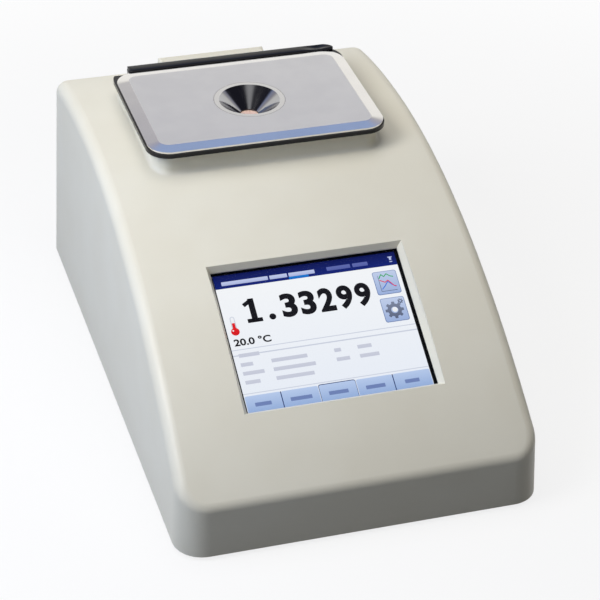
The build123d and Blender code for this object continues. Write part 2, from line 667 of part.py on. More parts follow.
def heat_sink():
    """Extruded comb of fins below a flat base, running to just in front of the fan."""
    front = PELTIER_Y - PELTIER_SIZE / 2
    rear = FAN_FRONT - SINK_GAP_TO_FAN
    comb = Pos(0, SINK_TOP - SINK_BASE / 2) * Rectangle(SINK_WIDTH, SINK_BASE)
    pitch = (SINK_WIDTH - FIN_THICKNESS) / (FIN_COUNT - 1)
    for i in range(FIN_COUNT):
        x = -SINK_WIDTH / 2 + FIN_THICKNESS / 2 + i * pitch
        comb = comb + Pos(x, SINK_TOP - SINK_HEIGHT / 2) * Rectangle(FIN_THICKNESS, SINK_HEIGHT)
    return extrude(Plane(origin=(0, rear, 0), x_dir=(1, 0, 0), z_dir=(0, -1, 0)) * comb, amount=rear - front)


def optical_channel():
    """Machined trough below the prism block that holds the light source, lenses and detector."""
    half_outer = CHANNEL_INNER / 2 + CHANNEL_WALL
    bottom = BLOCK_BOTTOM - CHANNEL_DROP
    points = [
        (-CHANNEL_LENGTH / 2, bottom),
        (CHANNEL_LENGTH / 2, bottom),
        (CHANNEL_LENGTH / 2, bottom + CHANNEL_END_HEIGHT),
        (BLOCK_WIDTH / 2, BLOCK_BOTTOM),
        (-BLOCK_WIDTH / 2, BLOCK_BOTTOM),
        (-CHANNEL_LENGTH / 2, bottom + CHANNEL_END_HEIGHT),
    ]
    side = Plane.XZ * make_face(Polyline(*points, close=True))
    trough = extrude(side, amount=half_outer, both=True)
    inside = slab(CHANNEL_LENGTH + 2, CHANNEL_INNER, bottom + CHANNEL_WALL, BLOCK_BOTTOM + 1)
    return Pos(0, DISH_Y, 0) * (trough - inside)


def on_beam(side, distance):
    """Location on the light path: side -1 is the light's, 1 the detector's; local z points to the prism."""
    angle = radians(BEAM_ANGLE)
    toward = (-side * cos(angle), 0, sin(angle))
    origin = (side * distance * cos(angle), DISH_Y, BEAM_Z - distance * sin(angle))
    return Plane(origin=origin, x_dir=(0, 1, 0), z_dir=toward).location


def lens(side):
    """Glass lens with two equally curved faces."""
    top = LENS_EDGE / 2 + LENS_BULGE
    curve_radius = (LENS_RADIUS**2 + LENS_BULGE**2) / (2 * LENS_BULGE)
    form = Cylinder(LENS_RADIUS, 2 * top)
    for direction in (-1, 1):
        form = form & Pos(0, 0, direction * (top - curve_radius)) * Sphere(curve_radius)
    return on_beam(side, LENS_DISTANCE) * form


def lens_mounts():
    """Two plates across the trough, each with a seat for a lens."""
    half = LENS_MOUNT_THICKNESS / 2
    seat_top = LENS_EDGE / 2 + LENS_SEAT_GAP
    plate = slab(CHANNEL_INNER, LENS_MOUNT, -half, half) - tube_post(LENS_RADIUS + FIT, -half, seat_top)
    plate = plate - tube_post(LENS_RADIUS - LENS_LIP, -half, half)
    return Part() + [on_beam(side, LENS_DISTANCE) * plate for side in (-1, 1)]


def light_source():
    """Lamp block across the trough with the domed emitter towards the prism."""
    block = slab(CHANNEL_INNER, 16, -9, 0)
    dome = tube_post(2.5, 0, 3) + Pos(0, 0, 3) * Sphere(2.5)
    return on_beam(-1, LIGHT_DISTANCE) * (block + dome)


def sensor_board():
    """Small circuit board across the trough behind the detector."""
    board = slab(CHANNEL_INNER, 24, -4.6, -3.0)
    return on_beam(1, DETECTOR_DISTANCE) * board


def line_sensor():
    """Row detector with its window towards the prism."""
    body = slab(9, 22, -3.0, 0) - slab(4, 18, -0.6, 1)
    return on_beam(1, DETECTOR_DISTANCE) * body


def display_gasket():
    """Foam frame between the housing's lip and the touch glass."""
    frame = slab(GLASS_WIDTH, GLASS_HEIGHT, GLASS_TOP, LIP_LEVEL)
    inner = slab(GLASS_WIDTH - 2 * GASKET_WIDTH, GLASS_HEIGHT - 2 * GASKET_WIDTH, GLASS_TOP - 1, 0)
    return on_screen(0, 0, 0, frame - inner)


def touch_glass():
    """Glass sheet of the touch screen."""
    sheet = slab(GLASS_WIDTH, GLASS_HEIGHT, MODULE_TOP, GLASS_TOP)
    return on_screen(0, 0, 0, fillet(sheet.edges().filter_by(Axis.Z), 2.0))


def display_module():
    """Display in its metal rim, with a thinner back half and a connector ledge."""
    depth = MODULE_THICKNESS
    front = slab(GLASS_WIDTH - 2, GLASS_HEIGHT - 2, MODULE_TOP - depth / 2, MODULE_TOP)
    back = slab(GLASS_WIDTH - 8, GLASS_HEIGHT - 8, BRACKET_TOP, MODULE_TOP - depth / 2)
    return on_screen(0, 0, 0, front + back)


def display_bracket():
    """Sheet-metal pan behind the display with four tabs screwed to the housing's bosses."""
    sheet = slab(GLASS_WIDTH - 2, GLASS_HEIGHT - 2, BRACKET_TOP - BRACKET_SHEET, BRACKET_TOP)
    for x, y in DISPLAY_BOSSES:
        side = 1 if x > 0 else -1
        reach = abs(x) + BOSS_RADIUS - GLASS_WIDTH / 2 + 12
        tab = slab(reach, TAB_WIDTH, BRACKET_TOP - BRACKET_SHEET, BRACKET_TOP)
        sheet = sheet + Pos(side * (abs(x) + BOSS_RADIUS - reach / 2), y, 0) * tab
    for x, y in DISPLAY_BOSSES:
        sheet = sheet - Pos(x, y, BRACKET_TOP) * Cylinder(SCREW_RADIUS + 0.2, 4 * BRACKET_SHEET)
    for x in (-1, 1):
        window = slab(GLASS_WIDTH / 2 - 16, GLASS_HEIGHT - 26, BRACKET_TOP - 3, BRACKET_TOP + 1)
        sheet = sheet - Pos(x * (GLASS_WIDTH / 4 - 2), 0, 0) * window
    return on_screen(0, 0, 0, sheet)


def display_ribbon():
    """Flat ribbon from the display's back down to the connector on the main board."""
    slope = atan2(-SCREEN.z_dir.Y, SCREEN.z_dir.Z)
    back = BRACKET_TOP - BRACKET_SHEET
    top_y = SCREEN.origin.Y - back * sin(slope)
    top_z = SCREEN.origin.Z + back * cos(slope)
    thick = RIBBON_THICKNESS
    start = (0, top_y + RIBBON_RUN * cos(slope), top_z + RIBBON_RUN * sin(slope))
    bend = (0, top_y, top_z)
    foot = (0, top_y, BOARD_TOP + SOCKET_HEIGHT)
    outline = [
        start,
        bend,
        foot,
        (0, top_y + thick, BOARD_TOP + SOCKET_HEIGHT),
        (0, top_y + thick, top_z + thick * tan(slope) - thick / cos(slope)),
        (0, start[1] + thick * sin(slope), start[2] - thick * cos(slope)),
    ]
    face = make_face(Polyline(*outline, close=True))
    return extrude(face, amount=RIBBON_WIDTH / 2, both=True)


def main_board():
    """Main circuit board on four standoffs."""
    board = Pos(0, BOARD_Y, 0) * slab(BOARD_WIDTH, BOARD_DEPTH, BOARD_Z, BOARD_TOP)
    for x, y in BOARD_HOLES:
        board = board - Pos(x, y, BOARD_Z) * Cylinder(SMALL_SCREW_RADIUS + 0.2, 4 * BOARD_THICKNESS)
    return board


def board_standoffs():
    """Hexagon posts between the base plate and the main board."""
    posts = []
    for x, y in BOARD_HOLES:
        post = extrude(Pos(x, y, BASE_TOP) * RegularPolygon(3.2, 6), amount=STANDOFF_HEIGHT)
        posts.append(post - Pos(x, y, 0) * tube_post(SMALL_SCREW_RADIUS + FIT, BOARD_Z - 6, BOARD_Z + 1))
    return Part() + posts


def board_components():
    """Shielded processor, chips, cell and sockets on the main board."""
    slope = atan2(-SCREEN.z_dir.Y, SCREEN.z_dir.Z)
    ribbon_y = SCREEN.origin.Y - (BRACKET_TOP - BRACKET_SHEET) * sin(slope)
    items = [
        (-40.0, BOARD_Y + 4.0, 34.0, 34.0, 6.0),
        (38.0, BOARD_Y + 18.0, 18.0, 18.0, 2.4),
        (38.0, BOARD_Y - 16.0, 14.0, 20.0, 2.0),
        (0.0, ribbon_y, RIBBON_WIDTH + 4.0, 6.0, SOCKET_HEIGHT),
        (-62.0, BOARD_Y + 34.0, 8.0, 22.0, 8.0),
        (62.0, BOARD_Y + 34.0, 8.0, 22.0, 8.0),
    ]
    solids = [Pos(x, y, 0) * slab(w, d, BOARD_TOP, BOARD_TOP + h) for x, y, w, d, h in items]
    solids.append(Pos(4, BOARD_Y + 30, 0) * tube_post(10.0, BOARD_TOP, BOARD_TOP + 3.2))
    return Part() + solids


def supply_place():
    """Centre of the power supply, in front of the mains inlet."""
    return (INLET_X, REAR_Y - SUPPLY_TO_REAR - SUPPLY_DEPTH / 2)


def power_supply():
    """Supply board with its transformer, capacitors and heat spreader."""
    x, y = supply_place()
    low = BASE_TOP + SUPPLY_POST
    top = low + SUPPLY_BOARD
    rear = SUPPLY_DEPTH / 2
    width = SUPPLY_WIDTH - 2 * SUPPLY_SHEET - 1
    transformer = slab(width / 2, width / 2, top, top + 18)
    spreader = slab(4, 34, top, top + 20)
    capacitor = tube_post(6.0, top, top + 18)
    post = tube_post(2.5, BASE_TOP + SUPPLY_SHEET, low)
    parts = slab(width, SUPPLY_DEPTH - 4, low, top)
    parts = parts + Pos(0, rear - 46, 0) * transformer
    parts = parts + Pos(width / 2 - 10, 26 - rear, 0) * spreader
    for from_rear in (24, 10):
        parts = parts + Pos(-8, rear - from_rear, 0) * capacitor
    for post_x, post_y in mirrored(width / 2 - 6, [8 - rear, rear - 8]):
        parts = parts + Pos(post_x, post_y, 0) * post
    return Pos(x, y, 0) * parts


def supply_cage():
    """Vented sheet cage around the supply, open at its two ends."""
    x, y = supply_place()
    outer = slab(SUPPLY_WIDTH, SUPPLY_DEPTH, BASE_TOP, BASE_TOP + SUPPLY_HEIGHT)
    inner = slab(
        SUPPLY_WIDTH - 2 * SUPPLY_SHEET,
        SUPPLY_DEPTH + 2,
        BASE_TOP + SUPPLY_SHEET,
        BASE_TOP + SUPPLY_HEIGHT - SUPPLY_SHEET,
    )
    cage = outer - inner
    pitch = SUPPLY_DEPTH / (CAGE_SLOTS + 1)
    slot = slab(SUPPLY_WIDTH - 18, 4, BASE_TOP + SUPPLY_HEIGHT - 3, BASE_TOP + SUPPLY_HEIGHT + 1)
    for i in range(CAGE_SLOTS):
        cage = cage - Pos(0, (i - (CAGE_SLOTS - 1) / 2) * pitch, 0) * slot
    return Pos(x, y, 0) * cage


def inlet_cavity_outline():
    """Six-sided mouth of the mains inlet, with its two upper corners cut off."""
    half_w = INLET_CAVITY_WIDTH / 2
    half_h = INLET_CAVITY_HEIGHT / 2
    cut = 4.5
    points = [
        (-half_w, -half_h),
        (half_w, -half_h),
        (half_w, half_h - cut),
        (half_w - cut, half_h),
        (-half_w + cut, half_h),
        (-half_w, half_h - cut),
    ]
    return make_face(Polyline(*points, close=True))


def power_inlet():
    """Mains inlet set in the rear panel."""
    place = facing_rear(INLET_X, PANEL_FACE, PANEL_CENTRE)
    flange = extrude(RectangleRounded(INLET_WIDTH, INLET_HEIGHT, 2.5), amount=INLET_FLANGE)
    body = slab(INLET_BODY_WIDTH, INLET_BODY_HEIGHT, -INLET_BODY_DEPTH, 0)
    cavity = extrude(Pos(0, 0, INLET_FLANGE) * inlet_cavity_outline(), amount=-INLET_CAVITY_DEPTH)
    return place * (flange + body - cavity)


def inlet_pins():
    """Three flat contact pins of the mains inlet."""
    place = facing_rear(INLET_X, PANEL_FACE, PANEL_CENTRE)
    floor = INLET_FLANGE - INLET_CAVITY_DEPTH
    spots = [(-7.0, -2.0), (7.0, -2.0), (0.0, 2.0)]
    return Part() + [place * Pos(x, z, 0) * slab(2.0, 4.0, floor, -1.0) for x, z in spots]


SWITCH_INNER_WIDTH = SWITCH_WIDTH - 2 * SWITCH_WALL
SWITCH_INNER_HEIGHT = SWITCH_HEIGHT - 4.2
ROCKER_WIDTH = SWITCH_INNER_WIDTH - 2 * ROCKER_SIDE_GAP
SWITCH_FACE = PANEL_FACE + SWITCH_FLANGE
PIVOT_Y = SWITCH_FACE - 2.6


def switch_housing():
    """Socket of the rocker switch with a flange on the panel and a bore at each side for the pivot."""
    place = facing_rear(SWITCH_X, PANEL_FACE, PANEL_CENTRE)
    flange = slab(SWITCH_WIDTH + 2 * SWITCH_MARGIN, SWITCH_HEIGHT, 0, SWITCH_FLANGE)
    body = slab(SWITCH_WIDTH, SWITCH_HEIGHT - 2, -SWITCH_DEPTH, 0)
    cavity = slab(SWITCH_INNER_WIDTH, SWITCH_INNER_HEIGHT, -SWITCH_DEPTH + 2, SWITCH_FLANGE + 1)
    bore = Pos(0, 0, PIVOT_Y - PANEL_FACE) * Rot(0, 90, 0) * Cylinder(
        TRUNNION_RADIUS + FIT, SWITCH_WIDTH + 4
    )
    return place * (flange + body - cavity - bore)


def power_rocker():
    """Rocker with two sloping faces and a trunnion at each side, resting with its lower end pressed in."""
    points = [
        (-ROCKER_REACH, -1.6),
        (-5.0, -5.0),
        (5.0, -5.0),
        (ROCKER_REACH, -1.6),
        (ROCKER_REACH, 3.2),
        (0, 1.9),
        (-ROCKER_REACH, 3.2),
    ]
    side = Plane(origin=(0, 0, 0), x_dir=(0, 1, 0), z_dir=(1, 0, 0)) * make_face(
        Polyline(*points, close=True)
    )
    rocker = extrude(side, amount=ROCKER_WIDTH / 2, both=True)
    pin = Rot(0, 90, 0) * Cylinder(TRUNNION_RADIUS, SWITCH_INNER_WIDTH + 1.6)
    turned = Rot(ROCKER_TILT, 0, 0) * (rocker + pin)
    return facing_rear(SWITCH_X, PIVOT_Y, PANEL_CENTRE) * turned


def rear_panel():
    """Sheet panel with cut-outs for the inlet, switch and data ports."""
    outline = RectangleRounded(PANEL_WIDTH, PANEL_HEIGHT, 2.0)
    panel = extrude(facing_rear(0, REAR_Y - PANEL_RECESS, PANEL_CENTRE) * outline, amount=PANEL_SHEET)
    cuts = [
        (INLET_X, INLET_BODY_WIDTH, INLET_BODY_HEIGHT),
        (SWITCH_X, SWITCH_WIDTH, SWITCH_HEIGHT - 2),
        (NETWORK_X, NETWORK_WIDTH, NETWORK_HEIGHT),
        (USB_X, USB_WIDTH, USB_HEIGHT),
        (SERIAL_X, SERIAL_BODY_WIDTH, SERIAL_BODY_HEIGHT),
    ]
    for x, width, height in cuts:
        cut = Box(width + 2 * SEAM, 8 * PANEL_SHEET, height + 2 * SEAM)
        panel = panel - Pos(x, PANEL_FACE, PANEL_CENTRE) * cut
    for x, z in PANEL_SCREWS:
        panel = panel - facing_rear(x, PANEL_FACE, z) * Cylinder(SMALL_SCREW_RADIUS + 0.2, 8 * PANEL_SHEET)
    return panel


def network_port():
    """Network socket with its stepped mouth."""
    place = facing_rear(NETWORK_X, PANEL_FACE, PANEL_CENTRE)
    collar_width = NETWORK_WIDTH + 2 * PORT_COLLAR
    collar = slab(collar_width, NETWORK_HEIGHT + 2 * PORT_COLLAR, -2 * PANEL_SHEET, -PANEL_SHEET)
    shell = slab(NETWORK_WIDTH, NETWORK_HEIGHT, -PORT_DEPTH, 1.0) + collar
    mouth = Pos(0, 0.8, 0) * slab(11.8, 8.4, -12.0, 2.0)
    notch = Pos(0, -4.2, 0) * slab(6.2, 3.2, -10.0, 2.0)
    return place * (shell - mouth - notch)


def usb_ports():
    """Two stacked data sockets, each a folded sheet mouth with a tongue."""
    place = facing_rear(USB_X, PANEL_FACE, PANEL_CENTRE)
    collar_width = USB_WIDTH + 2 * PORT_COLLAR
    collar = slab(collar_width, USB_HEIGHT + 2 * PORT_COLLAR, -2 * PANEL_SHEET, -PANEL_SHEET)
    block = slab(USB_WIDTH, USB_HEIGHT, -PORT_DEPTH, 0.8) + collar
    for z in (-3.9, 3.9):
        block = block - Pos(0, z, 0) * slab(12.3, 4.6, -10.0, 2.0)
        block = block + Pos(0, z + 0.9, 0) * slab(11.0, 1.6, -10.0, -0.5)
    return place * block


def serial_port():
    """Nine-pin socket: a tapered metal rim on a flange with two hexagon posts."""
    place = facing_rear(SERIAL_X, PANEL_FACE, PANEL_CENTRE)
    top, bottom, half_h = 9.0, 7.6, 4.6
    points = [(-bottom, -half_h), (bottom, -half_h), (top, half_h), (-top, half_h)]
    outline = fillet(make_face(Polyline(*points, close=True)).vertices(), 1.2)
    flange = slab(SERIAL_FLANGE_WIDTH, SERIAL_FLANGE_HEIGHT, 0, 0.8)
    rim = extrude(outline, amount=SERIAL_RIM)
    body = slab(SERIAL_BODY_WIDTH, SERIAL_BODY_HEIGHT - 0.2, -10.0, 0)
    hollow = extrude(Pos(0, 0, 0.8) * offset(outline, -0.7), amount=4.0)
    port = flange + rim + body - hollow
    for x in (-12.5, 12.5):
        post = extrude(Pos(x, 0, 0.8) * RegularPolygon(2.6, 6), amount=2.2)
        port = port + post
    for count, row_z in ((5, 1.4), (4, -1.4)):
        for i in range(count):
            pin = tube_post(0.5, 0.5, SERIAL_RIM - 0.5)
            port = port + Pos((i - (count - 1) / 2) * PIN_PITCH, row_z, 0) * pin
    return place * port


def hood_side_area(inset):
    """Side view of the rear hood in the YZ plane: an upright back and a top that falls to the housing."""
    front = REAR_Y - HOOD_DEPTH
    rear = REAR_Y - inset
    front_top = back_height(front)
    fall = (HOOD_TOP - front_top) / HOOD_DEPTH
    drop = inset * hypot(1, fall)
    past = front - (1.0 if inset else 0.0)
    top_at_front = HOOD_TOP - drop - fall * (REAR_Y - past)
    low = HOOD_FOOT - (1.0 if inset else 0.0)
    top_at_rear = HOOD_TOP - drop - fall * inset
    points = [(0, rear, low), (0, rear, top_at_rear), (0, past, top_at_front), (0, past, low)]
    return make_face(Polyline(*points, close=True))


def rear_hood():
    """Moulded hood over the fan, set in the housing's rear, with a round field of louvres."""
    outer = extrude(hood_side_area(0), amount=HOOD_WIDTH / 2, both=True)
    roof = outer.faces().sort_by(Axis.Z)[-1]
    front_edge = roof.edges().sort_by(Axis.Y)[0]
    outer = fillet([edge for edge in roof.edges() if edge != front_edge], HOOD_EDGE_RADIUS)
    inner = extrude(hood_side_area(HOOD_WALL), amount=HOOD_WIDTH / 2 - HOOD_WALL, both=True)
    hood = outer - inner
    rows = int(LOUVRE_REACH / LOUVRE_PITCH)
    for i in range(-rows, rows + 1):
        z = i * LOUVRE_PITCH
        half = sqrt(LOUVRE_REACH**2 - z**2)
        slot = facing_rear(0, REAR_Y, FAN_CENTRE + z) * SlotOverall(2 * half, LOUVRE_HEIGHT)
        hood = hood - extrude(slot, amount=2 * HOOD_WALL, both=True)
    for x, z in FAN_SCREWS:
        hood = hood - facing_rear(x, REAR_Y, z) * Cylinder(SMALL_SCREW_RADIUS + FIT, 4 * HOOD_WALL)
    return hood


def fan_frame():
    """Square fan frame with a round duct, three struts, the motor's seat and the shaft."""
    place = facing_rear(0, FAN_FRONT, FAN_CENTRE)
    square = extrude(RectangleRounded(FAN_SIZE, FAN_SIZE, 3.0), amount=FAN_THICKNESS)
    frame = square - tube_post(FAN_BORE, -1, FAN_THICKNESS + 1)
    seat = tube_post(FAN_HUB_RADIUS, 0, STRUT_HEIGHT)
    strut = slab(FAN_BORE + 1, STRUT_WIDTH, 0, STRUT_HEIGHT)
    for i in range(3):
        seat = seat + Rot(0, 0, 90 + 120 * i) * Pos((FAN_BORE + 1) / 2, 0, 0) * strut
    frame = frame + seat + tube_post(SHAFT_RADIUS, 0, FAN_THICKNESS - 1.5)
    for x, z in FAN_SCREWS:
        frame = frame - Pos(x, z - FAN_CENTRE, 0) * tube_post(SMALL_SCREW_RADIUS + FIT, -1, FAN_THICKNESS + 1)
    return place * frame


def blade():
    """One fan blade, lofted from a steep root to a flatter, wider tip."""
    stations = ((FAN_HUB_RADIUS - 1.0, 9.0, 38.0), (FAN_BORE, 13.0, 27.0))
    sections = []
    for radius, chord, pitch in stations:
        section = Plane(origin=(radius, 0, 0), x_dir=(0, 1, 0), z_dir=(1, 0, 0))
        sections.append(section * Rot(0, 0, pitch) * RectangleRounded(chord, BLADE_THICKNESS, 0.4))
    return loft(sections)


def fan_rotor():
    """Cup-shaped hub with seven twisted blades, turning on the frame's shaft."""
    low = STRUT_HEIGHT + HUB_GAP
    hub = tube_post(FAN_HUB_RADIUS, low, low + FAN_HUB_LENGTH)
    hub = fillet(hub.edges().group_by(Axis.Z)[-1], 1.0)
    middle = low + FAN_HUB_LENGTH / 2
    wheel = hub
    for i in range(FAN_BLADES):
        wheel = wheel + Rot(0, 0, 360 / FAN_BLADES * i) * Pos(0, 0, middle) * blade()
    wheel = wheel & tube_post(FAN_BORE - FAN_TIP_GAP, low, low + FAN_HUB_LENGTH)
    wheel = wheel - tube_post(SHAFT_RADIUS + FIT, 0, FAN_THICKNESS)
    return facing_rear(0, FAN_FRONT, FAN_CENTRE) * wheel


def base_screws():
    """Screws up through the base plate into the housing's bosses."""
    return Part() + [Pos(x, y, RIM_Z) * standard_screw(BASE_THICKNESS + BASE_GRIP) for x, y in BASE_BOSSES]


def plate_screws():
    """Screws up through the pedestal's roof into the sample plate's bosses."""
    length = PLATE_UNDERSIDE - 1.0 - ROOF_UNDERSIDE
    return Part() + [Pos(x, y, ROOF_UNDERSIDE) * standard_screw(length) for x, y in PLATE_SCREWS]


def block_screws():
    """Screws up through the prism block's ears into the pedestal's roof."""
    low = ROOF_UNDERSIDE - EAR_THICKNESS
    return Part() + [Pos(x, y, low) * standard_screw(EAR_THICKNESS + WALL) for x, y in EAR_SCREWS]


def display_screws():
    """Screws through the bracket's tabs into the housing's display bosses."""
    low = BRACKET_TOP - BRACKET_SHEET
    turned = standard_screw(BRACKET_SHEET + DISPLAY_GRIP)
    return Part() + [on_screen(x, y, low, turned) for x, y in DISPLAY_BOSSES]


def board_screws():
    """Screws down through the main board into its standoffs."""
    turned = Rot(180, 0, 0) * small_screw(BOARD_THICKNESS + 4.5)
    return Part() + [Pos(x, y, BOARD_TOP) * turned for x, y in BOARD_HOLES]


def panel_screws():
    """Screws through the rear panel into the housing's rim."""
    turned = Rot(180, 0, 0) * small_screw(PANEL_SHEET + RIM_THICKNESS - 0.5)
    return Part() + [facing_rear(x, PANEL_FACE, z) * turned for x, z in PANEL_SCREWS]


def fan_screws():
    """Screws from inside through the fan frame into the hood."""
    place = [facing_rear(x, FAN_FRONT, z) for x, z in FAN_SCREWS]
    return Part() + [spot * small_screw(FAN_THICKNESS + HOOD_WALL - 0.8) for spot in place]


PARTS = {
    "housing_cover": housing_cover,
    "base_plate": base_plate,
    "rubber_feet": rubber_feet,
    "rear_panel": rear_panel,
    "rear_hood": rear_hood,
    "sample_plate": sample_plate,
    "sample_tray": sample_tray,
    "dish_insert": dish_insert,
    "prism_seal": prism_seal,
    "prism": prism,
    "prism_block": prism_block,
    "temperature_sensor": temperature_sensor,
    "peltier_module": peltier_module,
    "heat_sink": heat_sink,
    "optical_channel": optical_channel,
    "condenser_lens": lambda: lens(-1),
    "imaging_lens": lambda: lens(1),
    "lens_mounts": lens_mounts,
    "light_source": light_source,
    "sensor_board": sensor_board,
    "line_sensor": line_sensor,
    "display_gasket": display_gasket,
    "touch_glass": touch_glass,
    "display_module": display_module,
    "display_bracket": display_bracket,
    "display_ribbon": display_ribbon,
    "main_board": main_board,
    "board_standoffs": board_standoffs,
    "board_components": board_components,
    "power_supply": power_supply,
    "supply_cage": supply_cage,
    "power_inlet": power_inlet,
    "inlet_pins": inlet_pins,
    "switch_housing": switch_housing,
    "power_rocker": power_rocker,
    "network_port": network_port,
    "usb_ports": usb_ports,
    "serial_port": serial_port,
    "fan_frame": fan_frame,
    "fan_rotor": fan_rotor,
    "base_screws": base_screws,
    "plate_screws": plate_screws,
    "block_screws": block_screws,
    "display_screws": display_screws,
    "board_screws": board_screws,
    "panel_screws": panel_screws,
    "fan_screws": fan_screws,
}

os.makedirs("parts", exist_ok=True)
for name, make in PARTS.items():
    export_step(make(), f"parts/{name}.step")
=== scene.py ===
"""Dresses the bench refractometer: its finishes, the picture on its screen, its contacts, the studio and the camera."""

import logging
import math
from collections.abc import Sequence
from dataclasses import dataclass, field
from enum import Enum
from typing import ClassVar

import bpy
import numpy as np
from mathutils import Matrix, Vector


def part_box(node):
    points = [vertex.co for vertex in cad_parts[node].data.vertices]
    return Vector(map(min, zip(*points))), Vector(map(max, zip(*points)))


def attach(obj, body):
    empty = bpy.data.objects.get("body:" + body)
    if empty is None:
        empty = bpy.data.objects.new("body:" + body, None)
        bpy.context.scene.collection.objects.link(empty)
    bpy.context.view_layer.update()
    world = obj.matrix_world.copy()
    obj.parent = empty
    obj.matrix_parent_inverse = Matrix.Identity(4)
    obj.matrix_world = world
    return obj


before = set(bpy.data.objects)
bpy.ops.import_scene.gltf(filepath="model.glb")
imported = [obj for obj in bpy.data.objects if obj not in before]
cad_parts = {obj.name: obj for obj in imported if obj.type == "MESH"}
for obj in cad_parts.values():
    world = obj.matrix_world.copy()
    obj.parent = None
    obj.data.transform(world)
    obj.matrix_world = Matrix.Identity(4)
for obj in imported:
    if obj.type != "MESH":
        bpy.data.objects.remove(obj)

LOG = logging.getLogger("refractometer")
MM = 0.001
ROOT_BODY = "instrument"

Triple = tuple[float, float, float]
Pair = tuple[float, float]


def linear(red: float, green: float, blue: float) -> Triple:
    """Turns display values into linear light.

    Args:
        red: Red as shown on a display, 0 to 255.
        green: Green, likewise.
        blue: Blue, likewise.

    Returns:
        The three amounts of linear light, 0 to 1.
    """
    shares = (red / 255, green / 255, blue / 255)
    return tuple(s / 12.92 if s <= 0.04045 else ((s + 0.055) / 1.055) ** 2.4 for s in shares)


# Node trees


class Wire:
    """A value on its way through a node tree: Python's operators on it add Math nodes."""

    def __init__(self, sheet: "NodeSheet", socket: bpy.types.NodeSocket) -> None:
        """Keeps the sheet that owns the value and the socket that gives it."""
        self.sheet = sheet
        self.socket = socket

    def maths(self, operation: str, *others: "Wire | float") -> "Wire":
        """Adds a Math node that starts with this value.

        Args:
            operation: The Math node's operation.
            others: The other values of the sum.

        Returns:
            The node's result.
        """
        return self.sheet.maths(operation, self, *others)

    def __add__(self, other: "Wire | float") -> "Wire":
        """This value and another one."""
        return self.maths("ADD", other)

    def __radd__(self, other: float) -> "Wire":
        """A number and this value."""
        return self.maths("ADD", other)

    def __sub__(self, other: "Wire | float") -> "Wire":
        """This value less another one."""
        return self.maths("SUBTRACT", other)

    def __rsub__(self, other: float) -> "Wire":
        """A number less this value."""
        return self.sheet.maths("SUBTRACT", other, self)

    def __mul__(self, other: "Wire | float") -> "Wire":
        """This value times another one."""
        return self.maths("MULTIPLY", other)

    def __rmul__(self, other: float) -> "Wire":
        """A number times this value."""
        return self.maths("MULTIPLY", other)

    def __truediv__(self, other: "Wire | float") -> "Wire":
        """This value divided by another one."""
        return self.maths("DIVIDE", other)

    def __rtruediv__(self, other: float) -> "Wire":
        """A number divided by this value."""
        return self.sheet.maths("DIVIDE", other, self)

    def __abs__(self) -> "Wire":
        """The value without its sign."""
        return self.maths("ABSOLUTE")

    def __pow__(self, power: float) -> "Wire":
        """The value raised to a power."""
        return self.maths("POWER", power)

    def at_least(self, low: "Wire | float") -> "Wire":
        """The larger of this value and another one."""
        return self.maths("MAXIMUM", low)

    def at_most(self, high: "Wire | float") -> "Wire":
        """The smaller of this value and another one."""
        return self.maths("MINIMUM", high)

    def wave(self) -> "Wire":
        """A sine wave of this value, between 0 and 1."""
        return 0.5 + 0.5 * self.maths("SINE")

    def step(self, low: float, high: float) -> "Wire":
        """Rises smoothly from 0 to 1 while this value goes from low to high."""
        node = self.sheet.add(
            "ShaderNodeMapRange",
            {"interpolation_type": "SMOOTHSTEP"},
            {"Value": self, "From Min": low, "From Max": high},
        )
        return self.sheet.wire(node, "Result")


